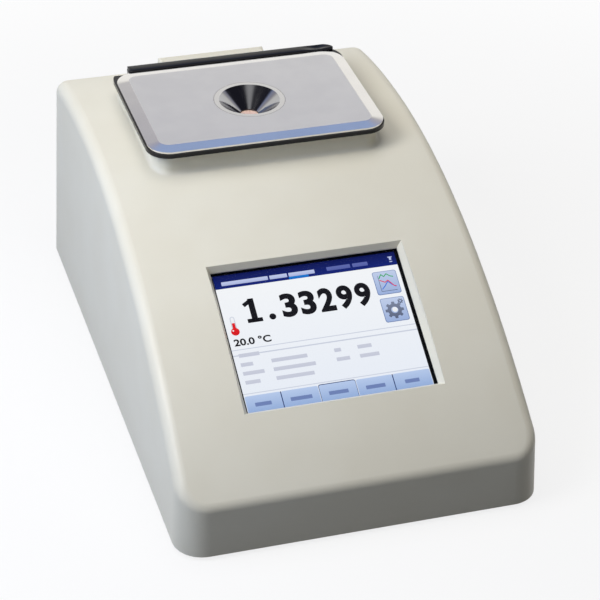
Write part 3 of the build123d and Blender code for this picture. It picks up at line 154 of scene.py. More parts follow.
class NodeSheet:
    """One node tree with a single way of adding nodes to it."""

    def __init__(self, tree: bpy.types.NodeTree) -> None:
        """Empties the tree and keeps it."""
        self.tree = tree
        self.tree.nodes.clear()

    def add(self, kind: str, settings: dict[str, object], values: dict[int | str, object]) -> bpy.types.Node:
        """Adds one node.

        Args:
            kind: The node's type.
            settings: What is chosen on the node itself, set first; a ramp's stops come as place and colour.
            values: Numbers, colours or wires for its inputs, by name or place.

        Returns:
            The new node.
        """
        node = self.tree.nodes.new(kind)
        for name, choice in settings.items():
            if name == "stops":
                self.set_stops(node.color_ramp, choice)
            else:
                setattr(node, name, choice)
        for key, value in values.items():
            target = node.inputs[key]
            if isinstance(value, Wire):
                self.tree.links.new(value.socket, target)
            elif target.type == "RGBA":
                target.default_value = (*value[:3], 1.0)
            else:
                target.default_value = value
        return node

    @staticmethod
    def set_stops(ramp: bpy.types.ColorRamp, stops: Sequence[tuple[float, Triple]]) -> None:
        """Gives a colour ramp its stops.

        Args:
            ramp: The ramp of a new node, with its two stops.
            stops: Place and colour of each stop, in rising order.
        """
        for place, _ in stops[2:]:
            ramp.elements.new(place)
        for element, (place, colour) in zip(ramp.elements, stops):
            element.position = place
            element.color = (*colour, 1.0)

    def wire(self, node: bpy.types.Node, output: int | str = 0) -> Wire:
        """The value that a node gives at one of its outputs."""
        return Wire(self, node.outputs[output])

    def maths(self, operation: str, *values: Wire | float) -> Wire:
        """Adds a Math node.

        Args:
            operation: The Math node's operation.
            values: Its inputs in order.

        Returns:
            The node's result.
        """
        return self.wire(self.add("ShaderNodeMath", {"operation": operation}, dict(enumerate(values))))

    def place(self) -> Wire:
        """The point on the surface, in the object's own coordinates."""
        return self.wire(self.add("ShaderNodeTexCoord", {}, {}), "Object")

    def axes(self, vector: Wire) -> tuple[Wire, Wire, Wire]:
        """The three parts of a vector."""
        node = self.add("ShaderNodeSeparateXYZ", {}, {0: vector})
        return self.wire(node, "X"), self.wire(node, "Y"), self.wire(node, "Z")

    def stretched(self, vector: Wire, scale: Triple) -> Wire:
        """A vector with each part multiplied by its own number."""
        return self.wire(self.add("ShaderNodeVectorMath", {"operation": "MULTIPLY"}, {0: vector, 1: scale}))

    def noise(self, vector: Wire, size: float, detail: float = 2.0) -> Wire:
        """Soft noise between 0 and 1 whose patches have about the given size."""
        values = {"Vector": vector, "Scale": 1.0 / size, "Detail": detail, "Roughness": 0.55}
        return self.wire(self.add("ShaderNodeTexNoise", {}, values))

    def cells(self, vector: Wire, size: float) -> Wire:
        """Distance to the nearest of many scattered points, in units of their spacing."""
        return self.wire(self.add("ShaderNodeTexVoronoi", {}, {"Vector": vector, "Scale": 1.0 / size}), "Distance")

    def mix(self, share: Wire | float, first: Wire | Triple, second: Wire | Triple) -> Wire:
        """Goes from one colour to another by a share between 0 and 1."""
        node = self.add("ShaderNodeMix", {"data_type": "RGBA"}, {0: share, 6: first, 7: second})
        return self.wire(node, 2)

    def bump(self, height: Wire, depth: float) -> Wire:
        """Turns a height between 0 and 1 into a surface direction, for a relief of the given depth in metres."""
        return self.wire(self.add("ShaderNodeBump", {}, {"Strength": 1.0, "Distance": depth, "Height": height}))

    def close(self, shader: bpy.types.Node, kind: str = "ShaderNodeOutputMaterial") -> None:
        """Leads a shader to the tree's output."""
        self.add(kind, {}, {"Surface": self.wire(shader)})


# Finishes


class Relief(Enum):
    """How a surface breaks up the light that falls on it."""

    SPARK = "even grain left by the mould"
    BLAST = "bead blasted metal"
    BRUSH = "fine parallel scratches"
    SPANGLE = "crystals of a zinc coat"
    FOAM = "open cells"
    CALM = "almost flat, with faint waves"


@dataclass(frozen=True)
class Finish:
    """One surface finish: a colour that drifts in soft patches, an uneven gloss and a fine relief.

    Lengths are in metres. The brush vector gives the length of a scratch along each axis.
    """

    slot: str
    colour: Triple
    drift: Triple
    roughness: float
    relief: Relief
    grain: float
    depth: float
    patch: float = 0.03
    unevenness: float = 0.05
    metallic: float = 0.0
    coat: float = 0.0
    alpha: float = 1.0
    specular: float = 0.5
    brush: Triple = (0.012, 0.0002, 0.0002)

    def paint(self, sheet: NodeSheet, place: Wire) -> Wire:
        """Colour: the two colours mixed by soft noise."""
        return sheet.mix(sheet.noise(place, self.patch).step(0.3, 0.7), self.colour, self.drift)

    def gloss(self, sheet: NodeSheet, place: Wire) -> Wire:
        """Roughness: the middle value, raised and lowered by soft noise."""
        return self.roughness + self.unevenness * (sheet.noise(place, self.patch * 0.4, 3.0) - 0.5)

    def height(self, sheet: NodeSheet, place: Wire) -> Wire:
        """Relief between 0 and 1, by its kind.

        Args:
            sheet: The material's nodes.
            place: The point on the surface.

        Returns:
            Two sizes of noise for grain, stretched noise for scratches, or the distance field of scattered points.
        """
        if self.relief is Relief.SPARK:
            return 0.65 * sheet.noise(place, self.grain) + 0.35 * sheet.noise(place, self.grain * 3.3, 1.0)
        if self.relief is Relief.BRUSH:
            scale = tuple(1.0 / length for length in self.brush)
            return sheet.noise(sheet.stretched(place, scale), 1.0, 3.0)
        if self.relief is Relief.SPANGLE:
            return sheet.cells(place, self.grain)
        if self.relief is Relief.FOAM:
            return 1.0 - sheet.cells(place, self.grain)
        return sheet.noise(place, self.grain, 3.0 if self.relief is Relief.BLAST else 1.0)

    def material(self) -> bpy.types.Material:
        """Makes the finish a material named after its slot.

        Returns:
            A material with one Principled shader.
        """
        made = bpy.data.materials.new(self.slot)
        made.use_nodes = True
        sheet = NodeSheet(made.node_tree)
        place = sheet.place()
        values = {
            "Base Color": self.paint(sheet, place),
            "Roughness": self.gloss(sheet, place),
            "Metallic": self.metallic,
            "Coat Weight": self.coat,
            "Coat Roughness": 0.05,
            "Specular IOR Level": self.specular,
            "Alpha": self.alpha,
            "Normal": sheet.bump(self.height(sheet, place), self.depth),
        }
        sheet.close(sheet.add("ShaderNodeBsdfPrincipled", {}, values))
        return made


@dataclass(frozen=True)
class HousingFinish(Finish):
    """Cream moulded plastic, with painted shade low down near the table: a darker, warmer colour in uneven patches."""

    low_shade: Triple = (0.70, 0.66, 0.54)
    low_shade_height: float = 0.03

    def paint(self, sheet: NodeSheet, place: Wire) -> Wire:
        """Colour: the drifting cream, mixed with the painted shade colour below the given height."""
        _, _, up = sheet.axes(place)
        low = 1.0 - up.step(0.0, self.low_shade_height)
        # painted shade near the table: share of the darker, warmer colour, in uneven patches
        low_shade_share = low * (0.25 + 0.35 * sheet.noise(place, 0.011, 3.0))
        return sheet.mix(low_shade_share, super().paint(sheet, place), self.low_shade)


@dataclass(frozen=True)
class PlateFinish(Finish):
    """Satin steel sheet whose sloping border is polished.

    The share of border at a point is worked out from its distance to a rounded rectangle, which is the length of the
    part of (|x| - half width + corner, |y| - half depth + corner) above zero, less the corner's radius.
    """

    centre_y: float = 0.08185
    half_width: float = 0.07675
    half_depth: float = 0.05385
    border: float = 0.0075
    corner: float = 0.0065
    border_roughness: float = 0.11

    def border_share(self, sheet: NodeSheet, place: Wire) -> Wire:
        """Zero on the flat of the plate and one on its border, with a soft change between."""
        x, y, _ = sheet.axes(place)
        across = (abs(x) - (self.half_width - self.border - self.corner)).at_least(0.0)
        along = (abs(y - self.centre_y) - (self.half_depth - self.border - self.corner)).at_least(0.0)
        distance = (across * across + along * along).maths("SQRT") - self.corner
        return distance.step(-0.0006, 0.0004)

    def gloss(self, sheet: NodeSheet, place: Wire) -> Wire:
        """Roughness: satin in the middle and smooth on the border."""
        satin = super().gloss(sheet, place)
        share = self.border_share(sheet, place)
        return satin * (1.0 - share) + share * (self.border_roughness + 0.03 * sheet.noise(place, 0.004))

    def height(self, sheet: NodeSheet, place: Wire) -> Wire:
        """Relief: the satin grain, fading out on the border."""
        return super().height(sheet, place) * (1.0 - 0.85 * self.border_share(sheet, place))


@dataclass(frozen=True)
class TurnedFinish(Finish):
    """Metal turned on a lathe: rings round an upright axis at a known place."""

    axis: Pair = (0.0, 0.0804)
    ring: float = 0.00035
    mouth: float = 0.0197
    # painted reflection: darker colour on the cone, standing in for the dark surroundings it mirrors
    painted_cone_reflection: Triple = (0.42, 0.42, 0.43)

    def reach(self, sheet: NodeSheet, place: Wire) -> Wire:
        """Distance from the axis."""
        x, y, _ = sheet.axes(place)
        across = x - self.axis[0]
        along = y - self.axis[1]
        return (across * across + along * along).maths("SQRT")

    def paint(self, sheet: NodeSheet, place: Wire) -> Wire:
        """Colour: the drifting steel outside the mouth and, on the cone inside it, a darker painted reflection of dark
        surroundings.
        """
        outside = self.reach(sheet, place).step(self.mouth - 0.0004, self.mouth + 0.0002)
        # painted reflection on the cone inside the mouth, plain steel outside it
        return sheet.mix(outside, self.painted_cone_reflection, super().paint(sheet, place))

    def height(self, sheet: NodeSheet, place: Wire) -> Wire:
        """Relief: a sine wave of the distance from the axis, with a little noise."""
        rings = (self.reach(sheet, place) * (2 * math.pi / self.ring)).wave()
        return 0.7 * rings + 0.3 * sheet.noise(place, 0.0006)


@dataclass(frozen=True)
class StripedFinish(Finish):
    """Ribbon cable: parallel wires under a thin skin, running side by side along X."""

    pitch: float = 0.00127

    def paint(self, sheet: NodeSheet, place: Wire) -> Wire:
        """Colour: the skin's colour, with painted shade in the grooves between the wires."""
        x, _, _ = sheet.axes(place)
        wires = (x * (2 * math.pi / self.pitch)).wave()
        # painted shade: the darker drift colour fills the grooves between the wires
        return sheet.mix(wires, self.drift, self.colour)

    def height(self, sheet: NodeSheet, place: Wire) -> Wire:
        """Relief: one ridge over each wire."""
        x, _, _ = sheet.axes(place)
        return (x * (2 * math.pi / self.pitch)).wave()


@dataclass(frozen=True)
class BoardFinish(Finish):
    """Circuit board: solder mask with copper runs that show through it as paler lines."""

    run: float = 0.0021

    def paint(self, sheet: NodeSheet, place: Wire) -> Wire:
        """Colour: the mask, lighter along the edges of square cells, which stand for the copper runs."""
        settings = {"feature": "DISTANCE_TO_EDGE"}
        values = {"Vector": place, "Scale": 1.0 / (self.run * 2.2)}
        edge = sheet.wire(sheet.add("ShaderNodeTexVoronoi", settings, values), "Distance")
        copper = (1.0 - edge.step(0.05, 0.09)) * sheet.noise(place, 0.02).step(0.42, 0.5)
        return sheet.mix(copper, self.colour, self.drift)


@dataclass(frozen=True)
class GlowFinish:
    """Part of the lit picture: a colour that changes from the foot of each patch to its top.

    The change follows the attribute named rise, which goes from 0 to 1 up each patch.
    """

    name: str
    foot: Triple
    top: Triple
    strength: float = 1.0

    def material(self) -> bpy.types.Material:
        """Makes the glow a material that shines in its own colour and reflects next to nothing."""
        made = bpy.data.materials.new(self.name)
        made.use_nodes = True
        sheet = NodeSheet(made.node_tree)
        rise = sheet.wire(sheet.add("ShaderNodeAttribute", {"attribute_name": "rise"}, {}), "Fac")
        grid = 0.985 + 0.015 * sheet.noise(sheet.place(), 0.0009, 1.0)
        colour = sheet.mix(rise, self.foot, self.top)
        pixels = sheet.mix(grid, (0.0, 0.0, 0.0), colour)
        values = {
            "Base Color": (0.01, 0.01, 0.012),
            "Roughness": 0.5,
            "Specular IOR Level": 0.0,
            "Emission Color": pixels,
            "Emission Strength": self.strength,
        }
        sheet.close(sheet.add("ShaderNodeBsdfPrincipled", {}, values))
        return made


STEEL_DRIFT: Triple = (0.755, 0.74, 0.72)

FINISHES: tuple[Finish, ...] = (
    HousingFinish("housing", (0.80, 0.768, 0.645), (0.778, 0.742, 0.615), 0.40, Relief.SPARK, 0.0005, 0.000011, 0.05),
    Finish("black_plastic", (0.020, 0.020, 0.022), (0.026, 0.026, 0.028), 0.38, Relief.SPARK, 0.0004, 0.00001),
    Finish("tray_black", (0.008, 0.008, 0.010), (0.012, 0.012, 0.014), 0.12, Relief.CALM, 0.008, 0.00002, specular=0.25),
    Finish("foot_rubber", (0.022, 0.022, 0.022), (0.035, 0.034, 0.033), 0.78, Relief.SPARK, 0.0006, 0.00003, 0.006),
    Finish(
        "base_metal", (0.50, 0.50, 0.49), (0.58, 0.57, 0.55), 0.40, Relief.SPANGLE, 0.009, 0.00001, metallic=1.0
    ),
    Finish(
        "panel_metal", (0.085, 0.09, 0.095), (0.10, 0.105, 0.11), 0.42, Relief.BRUSH, 0.0004, 0.000008, metallic=0.6
    ),
    PlateFinish("plate_steel", (0.79, 0.775, 0.75), STEEL_DRIFT, 0.30, Relief.BLAST, 0.00035, 0.000006, 0.02, metallic=1.0),
    TurnedFinish("dish_steel", (0.76, 0.755, 0.75), (0.73, 0.73, 0.73), 0.12, Relief.CALM, 0.001, 0.0000005, metallic=1.0),
    Finish("seal", (0.035, 0.03, 0.03), (0.05, 0.045, 0.045), 0.55, Relief.SPARK, 0.0004, 0.00001),
    Finish("prism_glass", (0.90, 0.62, 0.50), (0.94, 0.70, 0.60), 0.10, Relief.CALM, 0.004, 0.000004, 0.008, coat=0.6),
    Finish("block_metal", (0.70, 0.69, 0.66), (0.76, 0.75, 0.72), 0.28, Relief.BLAST, 0.0006, 0.00001, metallic=1.0),
    Finish("ceramic", (0.84, 0.84, 0.82), (0.88, 0.88, 0.87), 0.50, Relief.SPARK, 0.0005, 0.00001),
    Finish(
        "sink_aluminium",
        (0.045, 0.045, 0.05),
        (0.06, 0.06, 0.065),
        0.40,
        Relief.BRUSH,
        0.0004,
        0.00001,
        metallic=0.7,
        brush=(0.0003, 0.03, 0.0003),
    ),
    Finish("channel_aluminium", (0.05, 0.05, 0.055), (0.065, 0.065, 0.07), 0.45, Relief.BRUSH, 0.0004, 0.00001, metallic=0.6),
    Finish("lens_glass", (0.75, 0.85, 0.90), (0.80, 0.88, 0.92), 0.04, Relief.CALM, 0.01, 0.000001, alpha=0.35),
    Finish("lamp", (0.75, 0.52, 0.16), (0.82, 0.62, 0.26), 0.30, Relief.SPARK, 0.0006, 0.00001),
    Finish("sensor", (0.05, 0.05, 0.06), (0.07, 0.07, 0.09), 0.22, Relief.CALM, 0.003, 0.000004, coat=0.4),
    BoardFinish("board", (0.012, 0.09, 0.035), (0.05, 0.20, 0.09), 0.32, Relief.SPARK, 0.0006, 0.00002, 0.01, coat=0.2),
    Finish("chips", (0.018, 0.018, 0.020), (0.028, 0.028, 0.030), 0.48, Relief.SPARK, 0.0004, 0.00001),
    Finish("touch_glass", (0.02, 0.02, 0.03), (0.02, 0.022, 0.03), 0.04, Relief.CALM, 0.03, 0.000001, alpha=0.06, specular=0.2),
    Finish("display", (0.008, 0.008, 0.009), (0.011, 0.011, 0.012), 0.35, Relief.SPARK, 0.0004, 0.000006, specular=0.15),
    Finish("foam", (0.018, 0.018, 0.018), (0.03, 0.03, 0.03), 0.9, Relief.FOAM, 0.0006, 0.0001),
    Finish("sheet_steel", (0.55, 0.55, 0.55), (0.62, 0.62, 0.61), 0.36, Relief.SPANGLE, 0.007, 0.00001, metallic=1.0),
    StripedFinish("ribbon", (0.70, 0.67, 0.56), (0.45, 0.43, 0.36), 0.45, Relief.CALM, 0.001, 0.0001),
    Finish("connector_metal", (0.66, 0.65, 0.62), (0.72, 0.71, 0.69), 0.26, Relief.BLAST, 0.0006, 0.000006, metallic=1.0),
    Finish("contact", (0.83, 0.60, 0.24), (0.88, 0.68, 0.32), 0.20, Relief.CALM, 0.001, 0.000003, metallic=1.0),
    Finish("switch_black", (0.012, 0.012, 0.013), (0.016, 0.016, 0.017), 0.24, Relief.CALM, 0.004, 0.00001, coat=0.2),
    Finish("screw_steel", (0.60, 0.60, 0.60), (0.66, 0.66, 0.67), 0.28, Relief.BLAST, 0.0005, 0.000006, metallic=1.0),
)


class FinishBook:
    """Makes each finish once and hands it to nodes and pieces."""

    def __init__(self, finishes: Sequence[Finish]) -> None:
        """Makes the material of every finish."""
        self.made = {finish.slot: finish.material() for finish in finishes}

    def dress(self, node: str, slot: str) -> None:
        """Gives a solid its finish.

        Args:
            node: The solid's name.
            slot: The finish's slot.
        """
        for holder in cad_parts[node].material_slots:
            holder.material = self.made[slot]


# Surfaces


@dataclass
class Skin:
    """A surface that is still being put together.

    Points are rows of x, y and z; faces list their corners; rise goes from 0 to 1 up each patch.
    """

    points: np.ndarray
    faces: list[list[int]]
    rise: np.ndarray

    @staticmethod
    def grid(points: np.ndarray, around: bool = False, low_pole: bool = False, high_pole: bool = False) -> "Skin":
        """Lays faces over a grid of points.

        Each face joins four neighbours of the grid. A pole closes the first or last row with a fan to its middle.

        Args:
            points: The places, as rows by columns by 3.
            around: True if the last column joins the first.
            low_pole: True to close the first row.
            high_pole: True to close the last row.

        Returns:
            The surface, with its rise taken from the second coordinate.
        """
        rows, columns = points.shape[:2]
        places = points.reshape(-1, 3)
        index = np.arange(rows * columns).reshape(rows, columns)
        left = index if around else index[:, :-1]
        right = np.roll(index, -1, axis=1) if around else index[:, 1:]
        faces = np.stack([left[:-1], right[:-1], right[1:], left[1:]], axis=-1).reshape(-1, 4).tolist()
        for wanted, row, a, b in ((low_pole, 0, right, left), (high_pole, rows - 1, left, right)):
            if wanted:
                middle = np.full(a.shape[1], len(places))
                places = np.vstack([places, points[row].mean(axis=0)])
                faces += np.stack([a[row], b[row], middle], axis=-1).tolist()
        height = places[:, 1]
        span = max(float(np.ptp(height)), 1e-9)
        return Skin(places, faces, (height - height.min()) / span)

    @staticmethod
    def joined(skins: Sequence["Skin"]) -> "Skin":
        """Puts several surfaces into one."""
        starts = np.cumsum([0] + [len(skin.points) for skin in skins])
        faces = [[corner + int(start) for corner in face] for skin, start in zip(skins, starts) for face in skin.faces]
        points = np.vstack([skin.points for skin in skins])
        return Skin(points, faces, np.concatenate([skin.rise for skin in skins]))

    def piece(self, name: str, material: bpy.types.Material, body: str = ROOT_BODY, smooth: bool = False) -> bpy.types.Object:
        """Makes the surface an object that rides on a body.

        Args:
            name: The piece's name.
            material: Its finish.
            body: The body that carries it.
            smooth: True for soft shading.

        Returns:
            The object, at the origin.
        """
        mesh = bpy.data.meshes.new(name)
        mesh.from_pydata(self.points.tolist(), [], self.faces)
        mesh.attributes.new("rise", "FLOAT", "POINT").data.foreach_set("value", self.rise.astype(np.float32))
        mesh.polygons.foreach_set("use_smooth", np.full(len(self.faces), smooth))
        mesh.materials.append(material)
        mesh.update()
        made = bpy.data.objects.new(name, mesh)
        bpy.context.scene.collection.objects.link(made)
        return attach(made, body)


def rounded_outline(width: float, height: float, radius: float, corner_points: int = 8) -> np.ndarray:
    """Outline of a rectangle with round corners, anticlockwise from the right.

    Each point is its quarter's corner centre plus the radius in the direction of its angle.

    Args:
        width: Size along x.
        height: Size along y.
        radius: Radius of the corners.
        corner_points: Points on each corner.

    Returns:
        Points as rows of x and y.
    """
    radius = min(radius, width / 2, height / 2)
    quarter = np.repeat(np.arange(4), corner_points)
    angle = np.radians(90.0) * (quarter + np.tile(np.linspace(0.0, 1.0, corner_points), 4))
    signs = np.array([(1, 1), (-1, 1), (-1, -1), (1, -1)])[quarter]
    centres = signs * np.array([width / 2 - radius, height / 2 - radius])
    return centres + radius * np.column_stack([np.cos(angle), np.sin(angle)])


def gear_outline(radius: float, tooth: float, teeth: int, points: int = 160) -> np.ndarray:
    """Outline of a gear wheel: the radius grows by one tooth where a steep wave of the angle is high.

    Args:
        radius: Radius at the foot of the teeth.
        tooth: Height of a tooth.
        teeth: Their number.
        points: Points of the outline.

    Returns:
        Points as rows of x and y.
    """
    angle = np.linspace(0.0, 2 * np.pi, points, endpoint=False)
    reach = radius + tooth * np.clip(0.5 + 1.6 * np.cos(teeth * angle), 0.0, 1.0)
    return np.column_stack([np.cos(angle), np.sin(angle)]) * reach[:, None]


def slab(outline: np.ndarray, centre: Pair, low: float, high: float) -> Skin:
    """Thin closed slab: the outline at two levels, each level closed by a fan.

    Args:
        outline: Points of the outline, anticlockwise.
        centre: Where its origin goes.
        low: Level of the underside.
        high: Level of the upper side.

    Returns:
        The closed surface.
    """
    flat = outline + np.array(centre)
    levels = [np.column_stack([flat, np.full(len(flat), level)]) for level in (low, high)]
    return Skin.grid(np.stack(levels), around=True, low_pole=True, high_pole=True)


def band(path: np.ndarray, width: float, low: float, high: float) -> Skin:
    """Flat line of constant width: a narrow rectangle carried along a path in the plane.

    Each corner is the path's point plus or minus half the width along the path's side direction.

    Args:
        path: Points of the middle line, as x and y.
        width: Width of the line.
        low: Level of the underside.
        high: Level of the upper side.

    Returns:
        The closed surface.
    """
    along = np.gradient(path, axis=0)
    along /= np.linalg.norm(along, axis=1)[:, None]
    side = np.column_stack([-along[:, 1], along[:, 0]]) * width / 2
    corners = [(path - side, low), (path - side, high), (path + side, high), (path + side, low)]
    rows = np.stack([np.column_stack([flat, np.full(len(flat), level)]) for flat, level in corners], axis=1)
    return Skin.grid(rows, around=True, low_pole=True, high_pole=True)


def spring(path: np.ndarray, radius: float, sides: int = 10) -> Skin:
    """Round wire: a circle carried along a path that lies in a plane of constant x.

    Each point is the path's point plus the radius times (cosine of the angle along x, sine of it across the path).

    Args:
        path: Points of the wire's middle line.
        radius: Its radius.
        sides: Points round the wire.

    Returns:
        The closed surface.
    """
    along = np.gradient(path, axis=0)
    along /= np.linalg.norm(along, axis=1)[:, None]
    across = np.array([1.0, 0.0, 0.0])
    other = np.cross(along, across)
    angle = np.linspace(0.0, 2 * np.pi, sides, endpoint=False)
    ring = np.cos(angle)[None, :, None] * across + np.sin(angle)[None, :, None] * other[:, None, :]
    return Skin.grid(path[:, None, :] + radius * ring, around=True, low_pole=True, high_pole=True)


# The picture on the screen


class Tint(Enum):
    """Colours of the picture, as display values at the foot and at the top of each patch."""

    PAGE = ((236, 242, 252), (250, 252, 254))
    HEADER = ((4, 30, 118), (3, 16, 84))
    HEADER_TEXT = ((176, 187, 228), (196, 206, 240))
    HEADER_DIM = ((84, 96, 168), (96, 108, 178))
    MARK = ((0, 96, 190), (20, 130, 220))
    BLACK = ((10, 10, 14), (10, 10, 14))
    RED = ((214, 8, 18), (232, 30, 34))
    TUBE = ((196, 200, 214), (216, 222, 234))
    RULE = ((205, 211, 226), (205, 211, 226))
    CAPTION = ((202, 206, 222), (206, 210, 224))
    BUTTON_EDGE = ((96, 118, 170), (128, 148, 194))
    BUTTON = ((158, 180, 224), (196, 210, 238))
    TAB = ((146, 174, 220), (186, 206, 240))
    TAB_EDGE = ((30, 54, 110), (30, 54, 110))
    TAB_TEXT = ((112, 132, 184), (112, 132, 184))
    STEEL = ((92, 102, 130), (126, 136, 160))
    WHITE = ((236, 240, 246), (246, 248, 252))
    GREEN = ((40, 170, 90), (40, 170, 90))
    CRIMSON = ((222, 60, 90), (222, 60, 90))
    BLUE = ((70, 120, 220), (70, 120, 220))

    def glow(self) -> GlowFinish:
        """The finish that shines in this tint."""
        return GlowFinish("picture_" + self.name.lower(), linear(*self.value[0]), linear(*self.value[1]))


@dataclass(frozen=True)
class Easel:
    """The plane that the picture lies on: its middle, its direction to the right and its slope."""

    middle: np.ndarray
    slope: float

    def put(self, skin: Skin) -> Skin:
        """Carries a surface from the plane, in millimetres, to its place on the object, in metres.

        The place is the middle plus x along the right, y up the slope and z out of it.
        """
        right = np.array([1.0, 0.0, 0.0])
        rise = np.array([0.0, math.cos(self.slope), math.sin(self.slope)])
        out = np.array([0.0, -math.sin(self.slope), math.cos(self.slope)])
        return Skin(self.middle + skin.points @ np.stack([right, rise, out]) * MM, skin.faces, skin.rise)


@dataclass
class Lettering:
    """Figures and signs, set in a plain face and fitted to a box in millimetres."""

    text: str
    left: float
    right: float
    foot: float
    top: float
    weight: float = 0.035

    def skin(self, low: float, high: float) -> Skin:
        """Sets the text, measures it and stretches it to its box.

        Args:
            low: Level of the underside.
            high: Level of the upper side.

        Returns:
            The letters as one surface in the picture's plane.
        """
        curve = bpy.data.curves.new("letters", "FONT")
        curve.body = self.text
        curve.offset = self.weight
        curve.extrude = 0.05
        curve.resolution_u = 5
        holder = bpy.data.objects.new("letters", curve)
        bpy.context.scene.collection.objects.link(holder)
        ready = holder.evaluated_get(bpy.context.evaluated_depsgraph_get())
        mesh = bpy.data.meshes.new_from_object(ready)
        places = np.zeros(len(mesh.vertices) * 3)
        mesh.vertices.foreach_get("co", places)
        points = places.reshape(-1, 3)
        corners = np.zeros(len(mesh.loops), dtype=np.int32)
        mesh.loops.foreach_get("vertex_index", corners)
        starts = np.zeros(len(mesh.polygons), dtype=np.int32)
        mesh.polygons.foreach_get("loop_start", starts)
        faces = [face.tolist() for face in np.split(corners, starts[1:])]
        bpy.data.objects.remove(holder)
        bpy.data.curves.remove(curve)
        bpy.data.meshes.remove(mesh)
        lowest, highest = points.min(axis=0), points.max(axis=0)
        target_low = np.array([self.left, self.foot, low])
        target_high = np.array([self.right, self.top, high])
        fitted = target_low + (points - lowest) / (highest - lowest) * (target_high - target_low)
        return Skin(fitted, faces, np.zeros(len(fitted)))


# Sub-assemblies


class Assembly:
    """Pieces that belong together: what finish each solid takes, and what is added to them."""

    covers: ClassVar[dict[str, str]] = {}

    def dress(self, book: FinishBook) -> None:
        """Gives every solid of the group its finish."""
        for node, slot in self.covers.items():
            book.dress(node, slot)

    def build(self, book: FinishBook) -> list[bpy.types.Object]:
        """Adds the group's own pieces, of which a plain group has none."""
        return []


@dataclass
class Housing(Assembly):
    """The moulded cover, the floor sheet with its feet, and the hood over the fan."""

    covers: ClassVar[dict[str, str]] = {
        "housing_cover": "housing",
        "rear_hood": "housing",
        "base_plate": "base_metal",
        "rubber_feet": "foot_rubber",
    }


@dataclass
class MeasuringHead(Assembly):
    """Plate, tray, dish and prism. Lengths are in millimetres."""

    ledge_left: float = -65.4
    ledge_right: float = 74.0
    ledge_end: float = 7.0
    ledge_front: float = 136.2
    ledge_rear: float = 143.9
    ledge_low: float = 149.6
    ledge_top: float = 152.4
    bowl_x: float = 63.0
    bowl_depth: float = 1.3

    covers: ClassVar[dict[str, str]] = {
        "sample_plate": "plate_steel",
        "sample_tray": "tray_black",
        "dish_insert": "dish_steel",
        "prism_seal": "seal",
        "prism": "prism_glass",
    }

    def build(self, book: FinishBook) -> list[bpy.types.Object]:
        """Raises the tray's rear ledge: a bar of rounded section whose right end is round and dished.

        Each point is the middle line's place plus a rounded square of the angle, |cos| and |sin| to the power of
        0.5. The section's depth shrinks along a quarter circle at the right end, and its top sinks there by a bell
        curve of the place.
        """
        share = np.concatenate([np.linspace(0.0, 0.9, 60), 1.0 - 0.1 * np.cos(np.linspace(0.0, 1.55, 24))])
        place = self.ledge_left + share * (self.ledge_right - self.ledge_left)
        past = np.clip((place - (self.ledge_right - self.ledge_end)) / self.ledge_end, 0.0, 1.0)
        shrink = np.sqrt(1.0 - past**2)
        angle = np.linspace(0.0, 2 * np.pi, 32, endpoint=False)
        flat, up = (np.sign(wave) * np.abs(wave) ** 0.5 for wave in (np.cos(angle), np.sin(angle)))
        half_depth = (self.ledge_rear - self.ledge_front) / 2
        half_height = (self.ledge_top - self.ledge_low) / 2
        middle_y = (self.ledge_rear + self.ledge_front) / 2 - half_depth * 0.5 * past**2
        y = middle_y[:, None] + half_depth * shrink[:, None] * flat[None, :]
        bowl = self.bowl_depth * np.exp(-(((place - self.bowl_x) / 6.0) ** 2))
        across = np.exp(-((flat / 0.6) ** 2)) * (up > 0)
        z = (self.ledge_top + self.ledge_low) / 2 + half_height * up[None, :] - bowl[:, None] * across[None, :]
        x = np.broadcast_to(place[:, None], y.shape)
        skin = Skin.grid(np.stack([x, y, z], axis=-1) * MM, around=True, low_pole=True, high_pole=True)
        piece = skin.piece("tray_ledge", book.made["tray_black"], smooth=True)
        return [piece]


@dataclass
class Optics(Assembly):
    """Prism block with its temperature control, and the trough with lamp, lenses and detector."""

    covers: ClassVar[dict[str, str]] = {
        "prism_block": "block_metal",
        "temperature_sensor": "screw_steel",
        "peltier_module": "ceramic",
        "heat_sink": "sink_aluminium",
        "optical_channel": "channel_aluminium",
        "condenser_lens": "lens_glass",
        "imaging_lens": "lens_glass",
        "lens_mounts": "channel_aluminium",
        "light_source": "lamp",
        "sensor_board": "board",
        "line_sensor": "sensor",
    }


